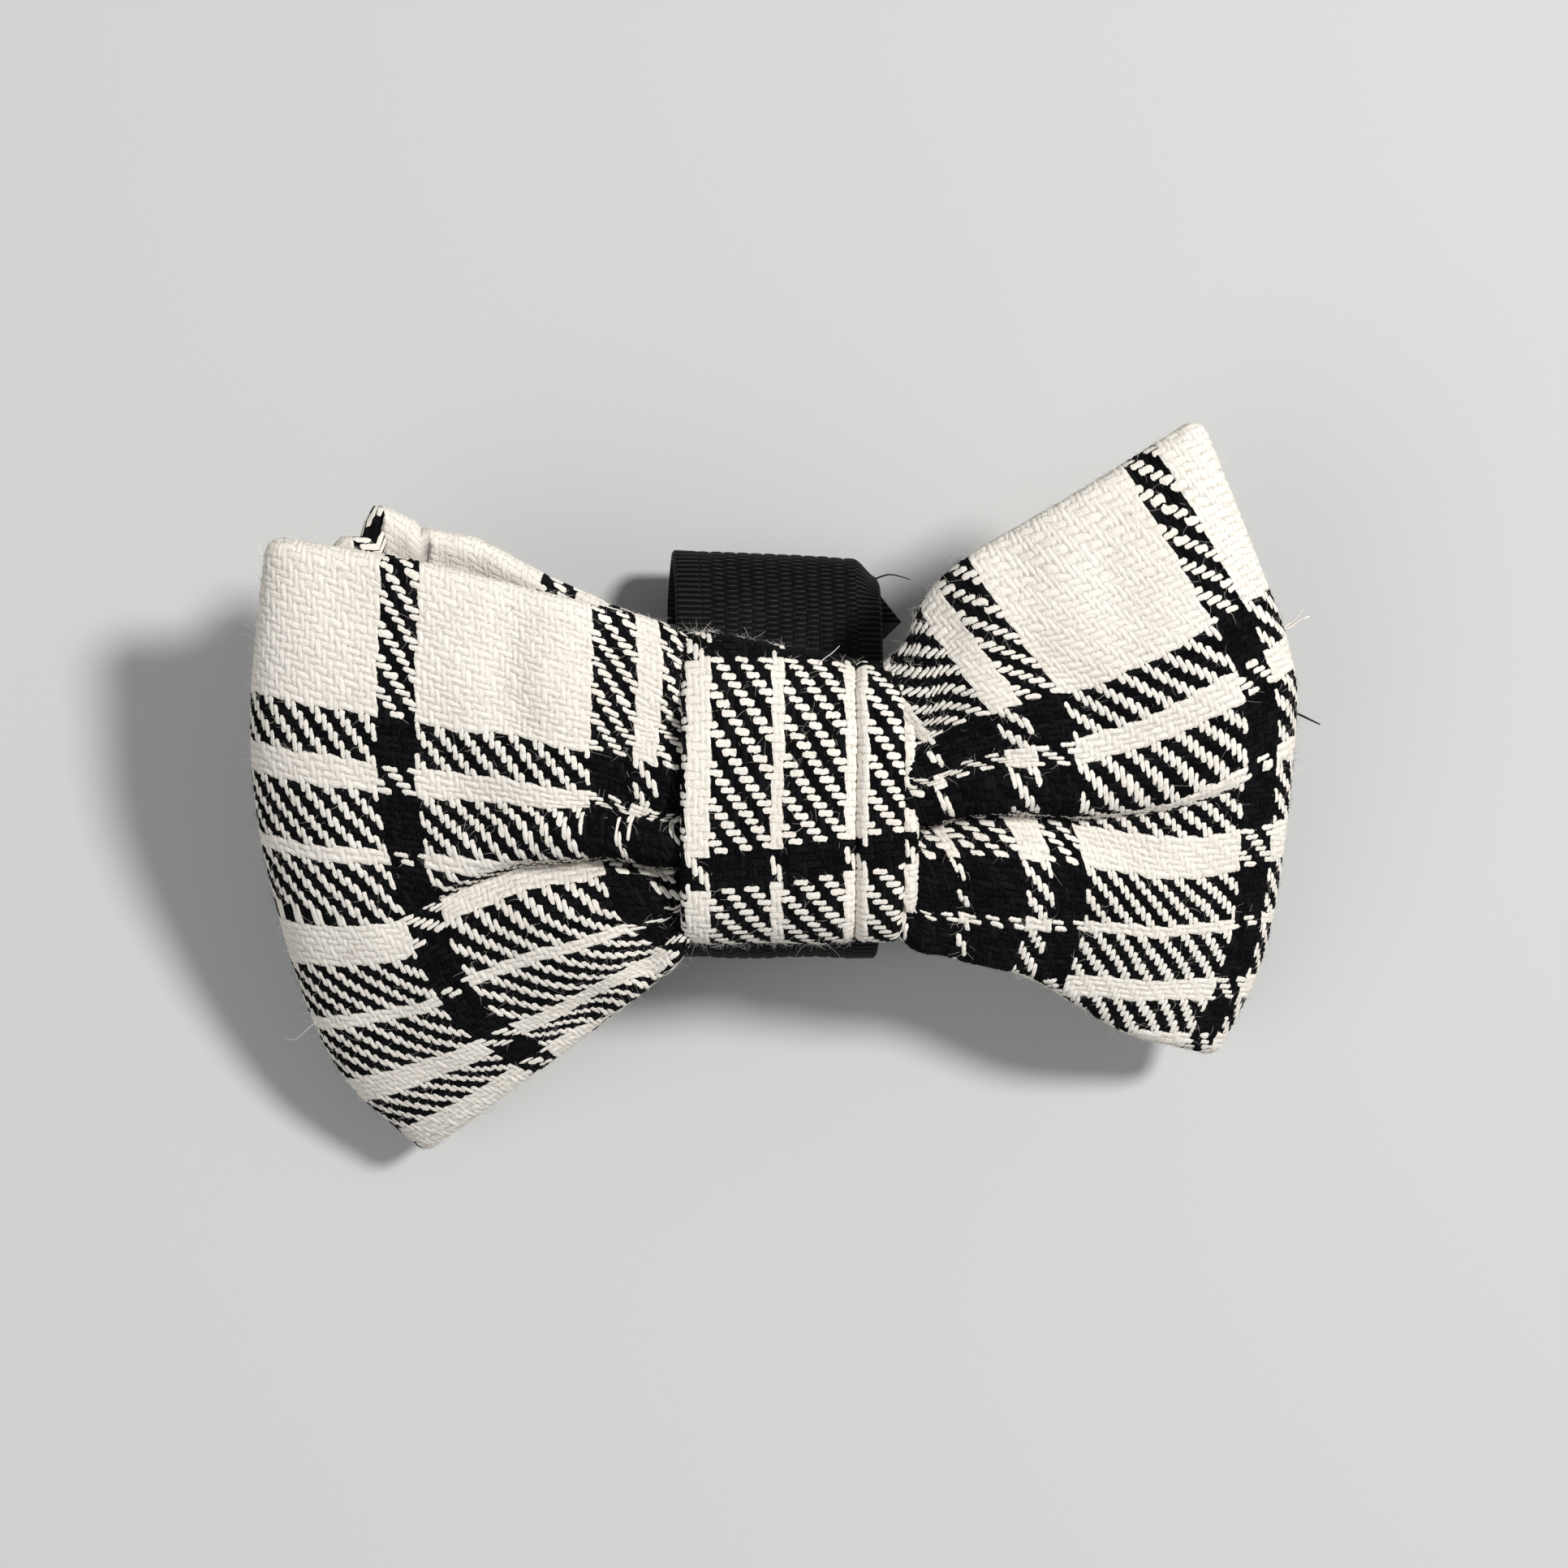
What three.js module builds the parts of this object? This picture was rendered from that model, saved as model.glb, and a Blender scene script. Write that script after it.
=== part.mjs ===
// A slip-on bow tie for a collar: a folded plaid bow, a wrapped knot and an elastic loop.
//
// Units are millimetres. +X runs along the bow, +Y towards its upper edge and +Z out of
// its front. The origin lies on the flat underside of the elastic loop, under its middle.

import * as THREE from 'three';

// ---------------------------------------------------------------- driving dimensions

const GAP = 0.3; // clearance between neighbouring pieces

// Elastic loop, a flattened ring around the X axis
const ELASTIC_WIDTH = 20;
const ELASTIC_THICKNESS = 1.2;
const LOOP_CENTRE_Y = 2.5;
const LOOP_HALF_LENGTH = 19.5;
const LOOP_HALF_HEIGHT = 6.8;
const LOOP_FLAT_HALF_LENGTH = 12;

// Knot, a strip wrapped around the gathered waist
const KNOT_LEFT_X = -7.9;
const KNOT_RIGHT_X = 12.2;
const KNOT_FOLD_X = 7.8; // where the wrap's folded edge lies on the underlap
const KNOT_CENTRE_Y = -0.3;
const KNOT_HALF_HEIGHT = 14.4;
const KNOT_HALF_DEPTH = 6.5;
const KNOT_CLOTH = 1.3;
const KNOT_SQUARENESS = 2.3; // exponent of the superellipse that the strip follows
const KNOT_TO_LOOP = 1.5; // room for the loop to swing under the knot

const LOOP_TOP_Z = 2 * LOOP_HALF_HEIGHT;
const KNOT_CENTRE_Z = LOOP_TOP_Z + KNOT_TO_LOOP + KNOT_HALF_DEPTH;

// Wings
const WING_CLOTH = 1.1;
const INTERLINING = 0.9;
const WING_HALF_DEPTH = 5.9;
const WING_EDGE_FULLNESS = 0.72; // depth at the upper and lower edges, as a share of the middle's
const WING_PINCH = 0.75; // depth at the knot, as a share of the middle's
const WING_PINCH_REACH = 0.45; // how far from the knot the wing is at its full depth
const WING_STEPS = 22;
const WING_ROWS = 10;
const INTERLINING_GAP = 0.6; // room for the curve between the rows of vertices
const INTERLINING_SIDE_MARGIN = 1.2;

// Threads
const BINDING_THREAD = 0.6;
const BINDING_TURNS = 3;
const BINDING_PITCH = 1.1;
const SEWING_THREAD = 0.5;
const THREAD_SIDES = 6;

// Where the edges of each wing run. Each line starts at the knot or at the lower edge.
const LEFT_WING = {
  top: [[-9.3, 12.5, 22.5], [-19, 16.4, 23], [-32.5, 19.6, 24], [-46.8, 21.9, 25]],
  bottom: [[-9.3, -15.5, 20.5], [-20, -25.5, 13], [-30.6, -33.6, 5]],
  inner: [[-9.3, -15.5, 20.5], [-9.3, -1, 21.7], [-9.3, 12.5, 22.5]],
  outer: [
    [-30.6, -33.6, 5], [-41.5, -25.7, 8.5], [-46.8, -10.6, 14], [-49, 4.5, 20], [-46.8, 21.9, 25],
  ],
};
const RIGHT_WING = {
  top: [[13.6, 12.5, 22.5], [17.6, 19.4, 23.5], [28, 26.2, 25.5], [38.9, 32.5, 27]],
  bottom: [[13.6, -14.5, 20.5], [25.7, -18.1, 15], [41.5, -24.9, 8]],
  inner: [[13.6, -14.5, 20.5], [13.6, -1, 21.7], [13.6, 12.5, 22.5]],
  outer: [
    [41.5, -24.9, 8], [47.5, -14.3, 12], [49, 4.5, 18], [48.3, 12.1, 21], [43.8, 21.1, 24],
    [38.9, 32.5, 27],
  ],
};

// ---------------------------------------------------------------- materials

function clothMaterial() {
  return new THREE.MeshStandardMaterial({ color: 0x8d8881, roughness: 0.95, metalness: 0 });
}

function interliningMaterial() {
  return new THREE.MeshStandardMaterial({ color: 0xe9e6df, roughness: 0.9, metalness: 0 });
}

function elasticMaterial() {
  return new THREE.MeshStandardMaterial({ color: 0x101012, roughness: 0.7, metalness: 0 });
}

function lightThreadMaterial() {
  return new THREE.MeshStandardMaterial({ color: 0xe6dfd2, roughness: 0.8, metalness: 0 });
}

function darkThreadMaterial() {
  return new THREE.MeshStandardMaterial({ color: 0x17171a, roughness: 0.8, metalness: 0 });
}

// ---------------------------------------------------------------- shared shapes

// A box with rows and columns of vertices, each moved to place(u, v, w) with u, v, w in 0..1.
function warpedBox(columns, rows, layers, place) {
  const geometry = new THREE.BoxGeometry(1, 1, 1, columns, rows, layers);
  const position = geometry.attributes.position;
  for (let i = 0; i < position.count; i += 1) {
    const u = position.getX(i) + 0.5;
    const v = position.getY(i) + 0.5;
    const w = position.getZ(i) + 0.5;
    const point = place(u, v, w);
    position.setXYZ(i, point.x, point.y, point.z);
  }
  geometry.computeVertexNormals();
  return geometry;
}

// A round thread along a smooth line through the given points.
function thread(points, diameter, steps) {
  const section = new THREE.Shape();
  for (let side = 0; side < THREAD_SIDES; side += 1) {
    const angle = (2 * Math.PI * side) / THREAD_SIDES;
    const x = (diameter / 2) * Math.cos(angle);
    const y = (diameter / 2) * Math.sin(angle);
    if (side === 0) section.moveTo(x, y);
    else section.lineTo(x, y);
  }
  section.closePath();
  const path = new THREE.CatmullRomCurve3(points);
  return new THREE.ExtrudeGeometry(section, { steps, extrudePath: path, bevelEnabled: false });
}

// An outline drawn across the bow, in Y and Z, becomes a solid from x0 to x1.
function extrudeAlongX(outline, x0, x1) {
  const geometry = new THREE.ExtrudeGeometry(outline, { depth: x1 - x0, bevelEnabled: false });
  const toWorld = new THREE.Matrix4().makeBasis(
    new THREE.Vector3(0, 1, 0),
    new THREE.Vector3(0, 0, 1),
    new THREE.Vector3(1, 0, 0),
  );
  geometry.applyMatrix4(toWorld);
  geometry.translate(x0, 0, 0);
  return geometry;
}

// One point of the knot's superellipse, offset inwards by inset, at an angle from +Y.
function knotPoint(angle, inset) {
  const cosine = Math.cos(angle);
  const sine = Math.sin(angle);
  const power = 2 / KNOT_SQUARENESS;
  const y = (KNOT_HALF_HEIGHT - inset) * Math.sign(cosine) * Math.abs(cosine) ** power;
  const z = (KNOT_HALF_DEPTH - inset) * Math.sign(sine) * Math.abs(sine) ** power;
  return new THREE.Vector2(KNOT_CENTRE_Y + y, KNOT_CENTRE_Z + z);
}

function knotOutline(inset, count, ripple = 0, ripples = 0) {
  const points = [];
  for (let i = 0; i < count; i += 1) {
    const angle = (2 * Math.PI * i) / count;
    const pleat = (ripple * (1 - Math.cos(ripples * angle))) / 2;
    points.push(knotPoint(angle, inset + pleat));
  }
  return points;
}

function addMesh(group, name, geometry, material) {
  const mesh = new THREE.Mesh(geometry, material);
  mesh.name = name;
  group.add(mesh);
}

// ---------------------------------------------------------------- wings

function smoothCurve(points) {
  return new THREE.CatmullRomCurve3(points.map((p) => new THREE.Vector3(...p)));
}

// The middle surface of a wing: a sheet stretched between its four edge curves.
function wingSheet(edges) {
  const top = smoothCurve(edges.top);
  const bottom = smoothCurve(edges.bottom);
  const inner = smoothCurve(edges.inner);
  const outer = smoothCurve(edges.outer);
  return (s, v) => {
    const point = new THREE.Vector3();
    point.addScaledVector(bottom.getPoint(s), 1 - v);
    point.addScaledVector(top.getPoint(s), v);
    point.addScaledVector(inner.getPoint(v), 1 - s);
    point.addScaledVector(outer.getPoint(v), s);
    point.addScaledVector(bottom.getPoint(0), -(1 - s) * (1 - v));
    point.addScaledVector(top.getPoint(0), -(1 - s) * v);
    point.addScaledVector(bottom.getPoint(1), -s * (1 - v));
    point.addScaledVector(top.getPoint(1), -s * v);
    return point;
  };
}

// Half of a wing's depth at share s of its length and share v of its height.
function wingHalfDepth(s, v) {
  const opening = THREE.MathUtils.smoothstep(s, 0, WING_PINCH_REACH);
  const alongLength = WING_PINCH + (1 - WING_PINCH) * opening;
  const acrossHeight = WING_EDGE_FULLNESS + (1 - WING_EDGE_FULLNESS) * Math.sin(Math.PI * v);
  return WING_HALF_DEPTH * alongLength * acrossHeight;
}

// A cloth layer that leaves the knot in front, turns at the outer fold and comes back behind.
// It lies between two depths under the wing's outer skin.
function wingLayer(edges, outerDepth, innerDepth, sideMargin) {
  const sheet = wingSheet(edges);
  const length = sheet(0, 0.5).distanceTo(sheet(1, 0.5));
  const height = sheet(0.5, 0).distanceTo(sheet(0.5, 1));
  const isLeft = sheet(1, 0.5).x < sheet(0, 0.5).x;
  return warpedBox(WING_STEPS, WING_ROWS, 1, (u, v, w) => {
    const turn = Math.PI * (isLeft ? 1 - u : u);
    const depth = innerDepth + (outerDepth - innerDepth) * w;
    const s = Math.sin(turn) * (1 - depth / length);
    const margin = sideMargin / height;
    const across = margin + (1 - 2 * margin) * v;
    const point = sheet(s, across);
    point.z += Math.cos(turn) * (wingHalfDepth(s, across) - depth);
    return point;
  });
}

function addWing(group, side, edges) {
  const cover = wingLayer(edges, 0, WING_CLOTH, 0);
  addMesh(group, `${side}_wing_cover`, cover, clothMaterial());
  const liningTop = WING_CLOTH + INTERLINING_GAP;
  const lining = wingLayer(edges, liningTop, liningTop + INTERLINING, INTERLINING_SIDE_MARGIN);
  addMesh(group, `${side}_wing_interlining`, lining, interliningMaterial());
}

// ---------------------------------------------------------------- waist and knot

const UNDERLAP_INSET = KNOT_CLOTH + GAP;
const BINDING_INSET = UNDERLAP_INSET + KNOT_CLOTH + GAP + BINDING_THREAD / 2;
const WAIST_INSET = BINDING_INSET + BINDING_THREAD / 2 + GAP;
const OUTLINE_STEPS = 44;

function addKnot(group) {
  const addBand = (name, inset, x0, x1) => {
    const band = new THREE.Shape(knotOutline(inset, OUTLINE_STEPS));
    band.holes.push(new THREE.Path(knotOutline(inset + KNOT_CLOTH, OUTLINE_STEPS).reverse()));
    addMesh(group, name, extrudeAlongX(band, x0, x1), clothMaterial());
  };
  const underlapMargin = 1.4;
  addBand('knot_wrap', 0, KNOT_LEFT_X, KNOT_FOLD_X);
  addBand('knot_underlap', UNDERLAP_INSET, KNOT_LEFT_X + underlapMargin, KNOT_RIGHT_X);
}

function addWaist(group) {
  const pleatDepth = 0.7;
  const pleats = 11;
  const outline = new THREE.Shape(knotOutline(WAIST_INSET, 2 * OUTLINE_STEPS, pleatDepth, pleats));
  const sideMargin = 0.6;
  const waist = extrudeAlongX(outline, KNOT_LEFT_X + sideMargin, KNOT_RIGHT_X - sideMargin);
  addMesh(group, 'bow_waist', waist, clothMaterial());
}

function addGatheringThread(group) {
  const pointsPerTurn = 20;
  const middleX = (KNOT_LEFT_X + KNOT_RIGHT_X) / 2;
  const count = BINDING_TURNS * pointsPerTurn;
  const points = [];
  for (let i = 0; i <= count; i += 1) {
    const turn = i / pointsPerTurn;
    const place = knotPoint(2 * Math.PI * turn, BINDING_INSET);
    const x = middleX + BINDING_PITCH * (turn - BINDING_TURNS / 2);
    points.push(new THREE.Vector3(x, place.x, place.y));
  }
  addMesh(group, 'gathering_thread', thread(points, BINDING_THREAD, count), lightThreadMaterial());
}

// A whip stitch that closes the wrap at the back of the knot, over the wrap's cut end.
function addClosingStitches(group) {
  const stitches = 5;
  const stitchSpread = 1.3;
  const endMargin = 2.2;
  const x0 = KNOT_LEFT_X + endMargin;
  const pitch = (KNOT_FOLD_X - endMargin - x0) / stitches;
  const z = KNOT_CENTRE_Z - KNOT_HALF_DEPTH - GAP - SEWING_THREAD / 2;
  const points = [];
  for (let i = 0; i <= stitches; i += 1) {
    const side = i % 2 === 0 ? 1 : -1;
    points.push(new THREE.Vector3(x0 + i * pitch, KNOT_CENTRE_Y + side * stitchSpread, z));
  }
  const stepsPerStitch = 6;
  const stitch = thread(points, SEWING_THREAD, stitches * stepsPerStitch);
  addMesh(group, 'knot_closing_stitches', stitch, lightThreadMaterial());
}

// ---------------------------------------------------------------- elastic loop

// The loop's outline, inset from its outer face: a flat underside, round ends and an arched top.
function traceLoop(path, inset) {
  const flat = LOOP_FLAT_HALF_LENGTH;
  const height = LOOP_HALF_HEIGHT - inset;
  const endRadius = LOOP_HALF_LENGTH - flat - inset;
  const middle = LOOP_CENTRE_Y;
  const z = LOOP_HALF_HEIGHT;
  const quarter = Math.PI / 2;
  path.moveTo(middle - flat, inset);
  path.lineTo(middle + flat, inset);
  path.absellipse(middle + flat, z, endRadius, height, -quarter, 0, false, 0);
  path.absellipse(middle, z, LOOP_HALF_LENGTH - inset, height, 0, 2 * quarter, false, 0);
  path.absellipse(middle - flat, z, endRadius, height, 2 * quarter, 3 * quarter, false, 0);
  path.closePath();
  return path;
}

// Height of the arched top of the loop at y, at a depth under its outer face.
function archHeight(y, depth) {
  const share = (y - LOOP_CENTRE_Y) / (LOOP_HALF_LENGTH - depth);
  return LOOP_HALF_HEIGHT + (LOOP_HALF_HEIGHT - depth) * Math.sqrt(1 - share * share);
}

const LAP_THICKNESS = 1;
const LAP_START_Y = -5;
const LAP_CORNER_Y = 15.6;
const LAP_END_Y = 19.3;
const LAP_DEPTH = ELASTIC_THICKNESS + GAP;

function addElastic(group) {
  const outline = traceLoop(new THREE.Shape(), 0);
  outline.holes.push(traceLoop(new THREE.Path(), ELASTIC_THICKNESS));
  const loop = extrudeAlongX(outline, -ELASTIC_WIDTH / 2, ELASTIC_WIDTH / 2);
  addMesh(group, 'elastic_loop', loop, elasticMaterial());
  addLapEnd(group);
  addBarTack(group);
}

function evenSteps(start, end, steps) {
  return Array.from({ length: steps + 1 }, (_, i) => start + ((end - start) * i) / steps);
}

// The elastic's free end, lapped under the top of the loop. Its cut corner shows on the right.
function addLapEnd(group) {
  const leftX = -ELASTIC_WIDTH / 2 + 0.8;
  const rightX = ELASTIC_WIDTH / 2 - 0.6;
  const cornerReach = 2.6;
  const edgeStep = 0.3; // the corner's straight lower side
  const stations = [
    ...evenSteps(LAP_START_Y, LAP_CORNER_Y, 6),
    ...evenSteps(LAP_CORNER_Y + edgeStep, LAP_END_Y, 5),
  ];
  const steps = stations.length - 1;
  const lap = warpedBox(4, steps, 1, (u, v, w) => {
    const y = stations[Math.round(v * steps)];
    const pastCorner = y > LAP_CORNER_Y ? (LAP_END_Y - y) / (LAP_END_Y - LAP_CORNER_Y) : 0;
    const x = leftX + (rightX + cornerReach * pastCorner - leftX) * u;
    const z = archHeight(y, LAP_DEPTH + LAP_THICKNESS * (1 - w));
    return new THREE.Vector3(x, y, z);
  });
  addMesh(group, 'elastic_lap_end', lap, elasticMaterial());
}

// A zigzag of thread under the lap, which joins the ring.
function addBarTack(group) {
  const zigzags = 8;
  const halfWidth = 7;
  const halfHeight = 1.4;
  const depth = LAP_DEPTH + LAP_THICKNESS + GAP + SEWING_THREAD / 2;
  const points = [];
  for (let i = 0; i <= zigzags; i += 1) {
    const side = i % 2 === 0 ? 1 : -1;
    const y = LOOP_CENTRE_Y + side * halfHeight;
    const x = -halfWidth + (2 * halfWidth * i) / zigzags;
    points.push(new THREE.Vector3(x, y, archHeight(y, depth)));
  }
  const stepsPerZigzag = 4;
  const tack = thread(points, SEWING_THREAD, zigzags * stepsPerZigzag);
  addMesh(group, 'elastic_bar_tack', tack, darkThreadMaterial());
}

// ---------------------------------------------------------------- the whole bow tie

function buildBowTie() {
  const bowTie = new THREE.Group();
  addWing(bowTie, 'left', LEFT_WING);
  addWing(bowTie, 'right', RIGHT_WING);
  addWaist(bowTie);
  addGatheringThread(bowTie);
  addKnot(bowTie);
  addClosingStitches(bowTie);
  addElastic(bowTie);
  return bowTie;
}

export default buildBowTie();
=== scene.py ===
"""The looks of a slip-on plaid bow tie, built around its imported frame.

Lengths are in millimetres in the tables below and become metres in the meshes.
Yarn coordinates: u counts warp yarns from left to right, v counts weft yarns downwards.
"""

import math

import bmesh
import bpy
import numpy as np
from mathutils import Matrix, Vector


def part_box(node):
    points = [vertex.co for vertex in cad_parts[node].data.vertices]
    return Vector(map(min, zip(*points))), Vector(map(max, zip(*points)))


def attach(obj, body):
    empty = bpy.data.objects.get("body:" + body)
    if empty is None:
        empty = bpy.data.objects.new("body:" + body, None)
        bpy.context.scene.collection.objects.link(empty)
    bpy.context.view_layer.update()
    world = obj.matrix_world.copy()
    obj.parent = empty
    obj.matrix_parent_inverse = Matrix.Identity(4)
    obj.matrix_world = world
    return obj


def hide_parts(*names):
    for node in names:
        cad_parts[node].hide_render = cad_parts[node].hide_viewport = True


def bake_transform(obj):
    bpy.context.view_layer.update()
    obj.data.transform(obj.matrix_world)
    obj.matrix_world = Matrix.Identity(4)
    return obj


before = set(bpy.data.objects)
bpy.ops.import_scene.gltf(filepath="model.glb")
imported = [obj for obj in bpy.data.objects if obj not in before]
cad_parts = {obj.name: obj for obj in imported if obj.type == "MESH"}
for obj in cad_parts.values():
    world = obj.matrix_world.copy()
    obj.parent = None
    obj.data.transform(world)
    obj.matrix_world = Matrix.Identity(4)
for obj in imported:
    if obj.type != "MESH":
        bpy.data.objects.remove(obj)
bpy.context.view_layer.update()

MM = 0.001
SEED = 615

# ---- the cloth's design

# The weft's spacing and the floats' relief are in millimetres, the rest in shares of a yarn.
WEFT_PITCH = 0.785
FLOAT_HEIGHT = 0.17
WARP_SWAY = 0.16
WEFT_SWAY = 0.12
WARP_HALF_WIDTH = 0.52
WEFT_HALF_WIDTH = 0.45
FLOAT_TAPER = 0.9
TWILL_REPEAT = 4
# Fibres push the yarns' edges about by this share of a yarn, and roughen them at these scales.
FRAY = 0.42
FRAY_GRAIN = 1.9
FLUFF_GRAIN = 2.7

# Stripes as (yarns, is black), from yarn 0. Each set repeats.
WARP_STRIPES = [
    (28, 0), (6, 1), (28, 0), (6, 1), (5, 0), (10, 1), (2, 0), (10, 1),
    (7, 0), (10, 1), (2, 0), (10, 1), (5, 0), (6, 1), (28, 0), (6, 1),
]
WEFT_STRIPES = [
    (3, 0), (8, 1), (2, 0), (8, 1), (4, 0), (6, 1), (22, 0), (4, 1), (22, 0),
    (6, 1), (4, 0), (8, 1), (2, 0), (8, 1), (3, 0),
]

CREAM = (0.84, 0.79, 0.705)
CREAM_SHADE = (0.70, 0.64, 0.555)
# Painted shade: the darker cream shown in the gaps between cream yarns.
CREAM_GAP_PAINTED_SHADE = (0.56, 0.51, 0.44)
BLACK = (0.0022, 0.0022, 0.0026)
BLACK_FIBRE = (0.014, 0.014, 0.015)


def smoothstep(x, low, high):
    t = np.clip((x - low) / (high - low), 0.0, 1.0)
    return t * t * (3.0 - 2.0 * t)


def twill_height(u, v):
    """Height of the top yarn, 0 in the gaps to 1 on a float's back. The material uses the same rule."""
    sway = np.sin((v - u + 0.5) * math.pi / 2)
    u = u - WARP_SWAY * sway
    v = v - WEFT_SWAY * sway
    i = np.floor(u)
    j = np.floor(v)
    warp_on_top = np.mod(i - j, TWILL_REPEAT) < 1.5
    along_warp = np.mod(v - i + 1, TWILL_REPEAT) - 1
    along_weft = np.mod(u - j - 2, TWILL_REPEAT) - 1
    warp = 1 - ((u - i - 0.5) / WARP_HALF_WIDTH) ** 2 - along_warp ** 4 * FLOAT_TAPER
    weft = 1 - ((v - j - 0.5) / WEFT_HALF_WIDTH) ** 2 - along_weft ** 4 * FLOAT_TAPER
    return np.sqrt(np.clip(np.where(warp_on_top, warp, weft), 0.0, 1.0))


NOISE_CELLS = 64


def value_noise(x, y, seed):
    """Smooth noise from -1 to 1 on a unit lattice."""
    table = np.random.default_rng(seed).uniform(-1, 1, (NOISE_CELLS, NOISE_CELLS))
    xi = np.floor(x).astype(int)
    yi = np.floor(y).astype(int)
    fx = smoothstep(x - xi, 0, 1)
    fy = smoothstep(y - yi, 0, 1)

    def corner(right, up):
        return table[np.mod(xi + right, NOISE_CELLS), np.mod(yi + up, NOISE_CELLS)]

    low = corner(0, 0) * (1 - fx) + corner(1, 0) * fx
    high = corner(0, 1) * (1 - fx) + corner(1, 1) * fx
    return low * (1 - fy) + high * fy


def wandering(yarn, along, seed, start):
    """A yarn's number, moved a little along its length, as a spun yarn wanders and thickens."""
    wander = 0.17 * value_noise(along * 0.21, yarn * 0.9, seed)
    jitter = 0.11 * value_noise(along * 0.71 + start, yarn * 1.3, seed + 2)
    return yarn + wander + jitter


def uneven(warp, weft):
    return wandering(warp, weft, SEED + 2, 9), wandering(weft, warp, SEED + 3, 5)


# ---- node helpers


class Wire:
    """A shader value that can be used in arithmetic."""

    def __init__(self, socket):
        self.socket = socket
        self.tree = socket.id_data

    def math(self, operation, *others):
        node = self.tree.nodes.new("ShaderNodeMath")
        node.operation = operation
        for slot, value in zip(node.inputs, (self,) + others):
            plug(slot, value)
        return Wire(node.outputs[0])

    def __add__(self, other):
        return self.math("ADD", other)

    def __sub__(self, other):
        return self.math("SUBTRACT", other)

    def __mul__(self, other):
        return self.math("MULTIPLY", other)

    def floor(self):
        return self.math("FLOOR")

    def wrap(self, period):
        return self.math("FLOORED_MODULO", period)


def plug(slot, value):
    """Links a wire to the slot, or sets the slot to a colour or a number."""
    if isinstance(value, Wire):
        value.tree.links.new(value.socket, slot)
    elif isinstance(value, tuple):
        slot.default_value = (*value, 1.0)
    else:
        slot.default_value = value


def new_material(name, roughness, sheen=0.0, specular=0.12):
    material = bpy.data.materials.new(name)
    material.use_nodes = True
    shader = material.node_tree.nodes["Principled BSDF"]
    plug(shader.inputs["Roughness"], roughness)
    plug(shader.inputs["Specular IOR Level"], specular)
    plug(shader.inputs["Sheen Weight"], sheen)
    plug(shader.inputs["Sheen Roughness"], 0.5)
    return material, shader


def add_bump(shader, height, strength, distance):
    """Relief from a height, as deep as the distance in millimetres."""
    node = height.tree.nodes.new("ShaderNodeBump")
    plug(node.inputs["Strength"], strength)
    plug(node.inputs["Distance"], distance * MM)
    plug(node.inputs["Height"], height)
    plug(shader.inputs["Normal"], Wire(node.outputs[0]))


def yarn_coordinates(material):
    """The two numbers that each mesh carries in its map of yarns."""
    node = material.node_tree.nodes.new("ShaderNodeUVMap")
    node.uv_map = "Yarns"
    split = material.node_tree.nodes.new("ShaderNodeSeparateXYZ")
    plug(split.inputs[0], Wire(node.outputs[0]))
    return Wire(split.outputs[0]), Wire(split.outputs[1])


def combine(x, y, z=0.0):
    node = x.tree.nodes.new("ShaderNodeCombineXYZ")
    for slot, value in zip(node.inputs, (x, y, z)):
        plug(slot, value)
    return Wire(node.outputs[0])


def noise(vector, scale, detail):
    node = vector.tree.nodes.new("ShaderNodeTexNoise")
    plug(node.inputs["Scale"], scale)
    plug(node.inputs["Detail"], detail)
    plug(node.inputs["Vector"], vector)
    return Wire(node.outputs["Fac"])


def white_noise(vector):
    node = vector.tree.nodes.new("ShaderNodeTexWhiteNoise")
    plug(node.inputs["Vector"], vector)
    return Wire(node.outputs["Value"])


def ramp(value, stops, interpolation="LINEAR"):
    """Stops are (position, colour or grey)."""
    node = value.tree.nodes.new("ShaderNodeValToRGB")
    node.color_ramp.interpolation = interpolation
    elements = node.color_ramp.elements
    elements.remove(elements[-1])
    for index, (position, shade) in enumerate(stops):
        element = elements.new(position) if index else elements[0]
        element.position = position
        element.color = (*shade, 1.0) if isinstance(shade, tuple) else (shade, shade, shade, 1.0)
    plug(node.inputs["Fac"], value)
    return Wire(node.outputs["Color"])


def mix(factor, a, b):
    """Colour a where the factor is 0, colour b where it is 1."""
    node = factor.tree.nodes.new("ShaderNodeMix")
    node.data_type = "RGBA"
    factor_slot = [slot for slot in node.inputs if slot.name == "Factor" and slot.type == "VALUE"][0]
    colour_slots = [slot for slot in node.inputs if slot.type == "RGBA"]
    for slot, value in zip((factor_slot, *colour_slots), (factor, a, b)):
        plug(slot, value)
    return Wire([slot for slot in node.outputs if slot.type == "RGBA"][0])


def is_black(yarn, stripes):
    """1 where the yarn's number falls in a black stripe."""
    period = sum(count for count, _ in stripes)
    stops = []
    start = 0
    for count, black in stripes:
        stops.append((start / period, black))
        start += count
    return ramp((yarn.wrap(period) + 0.5) * (1.0 / period), stops, "CONSTANT")


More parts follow.
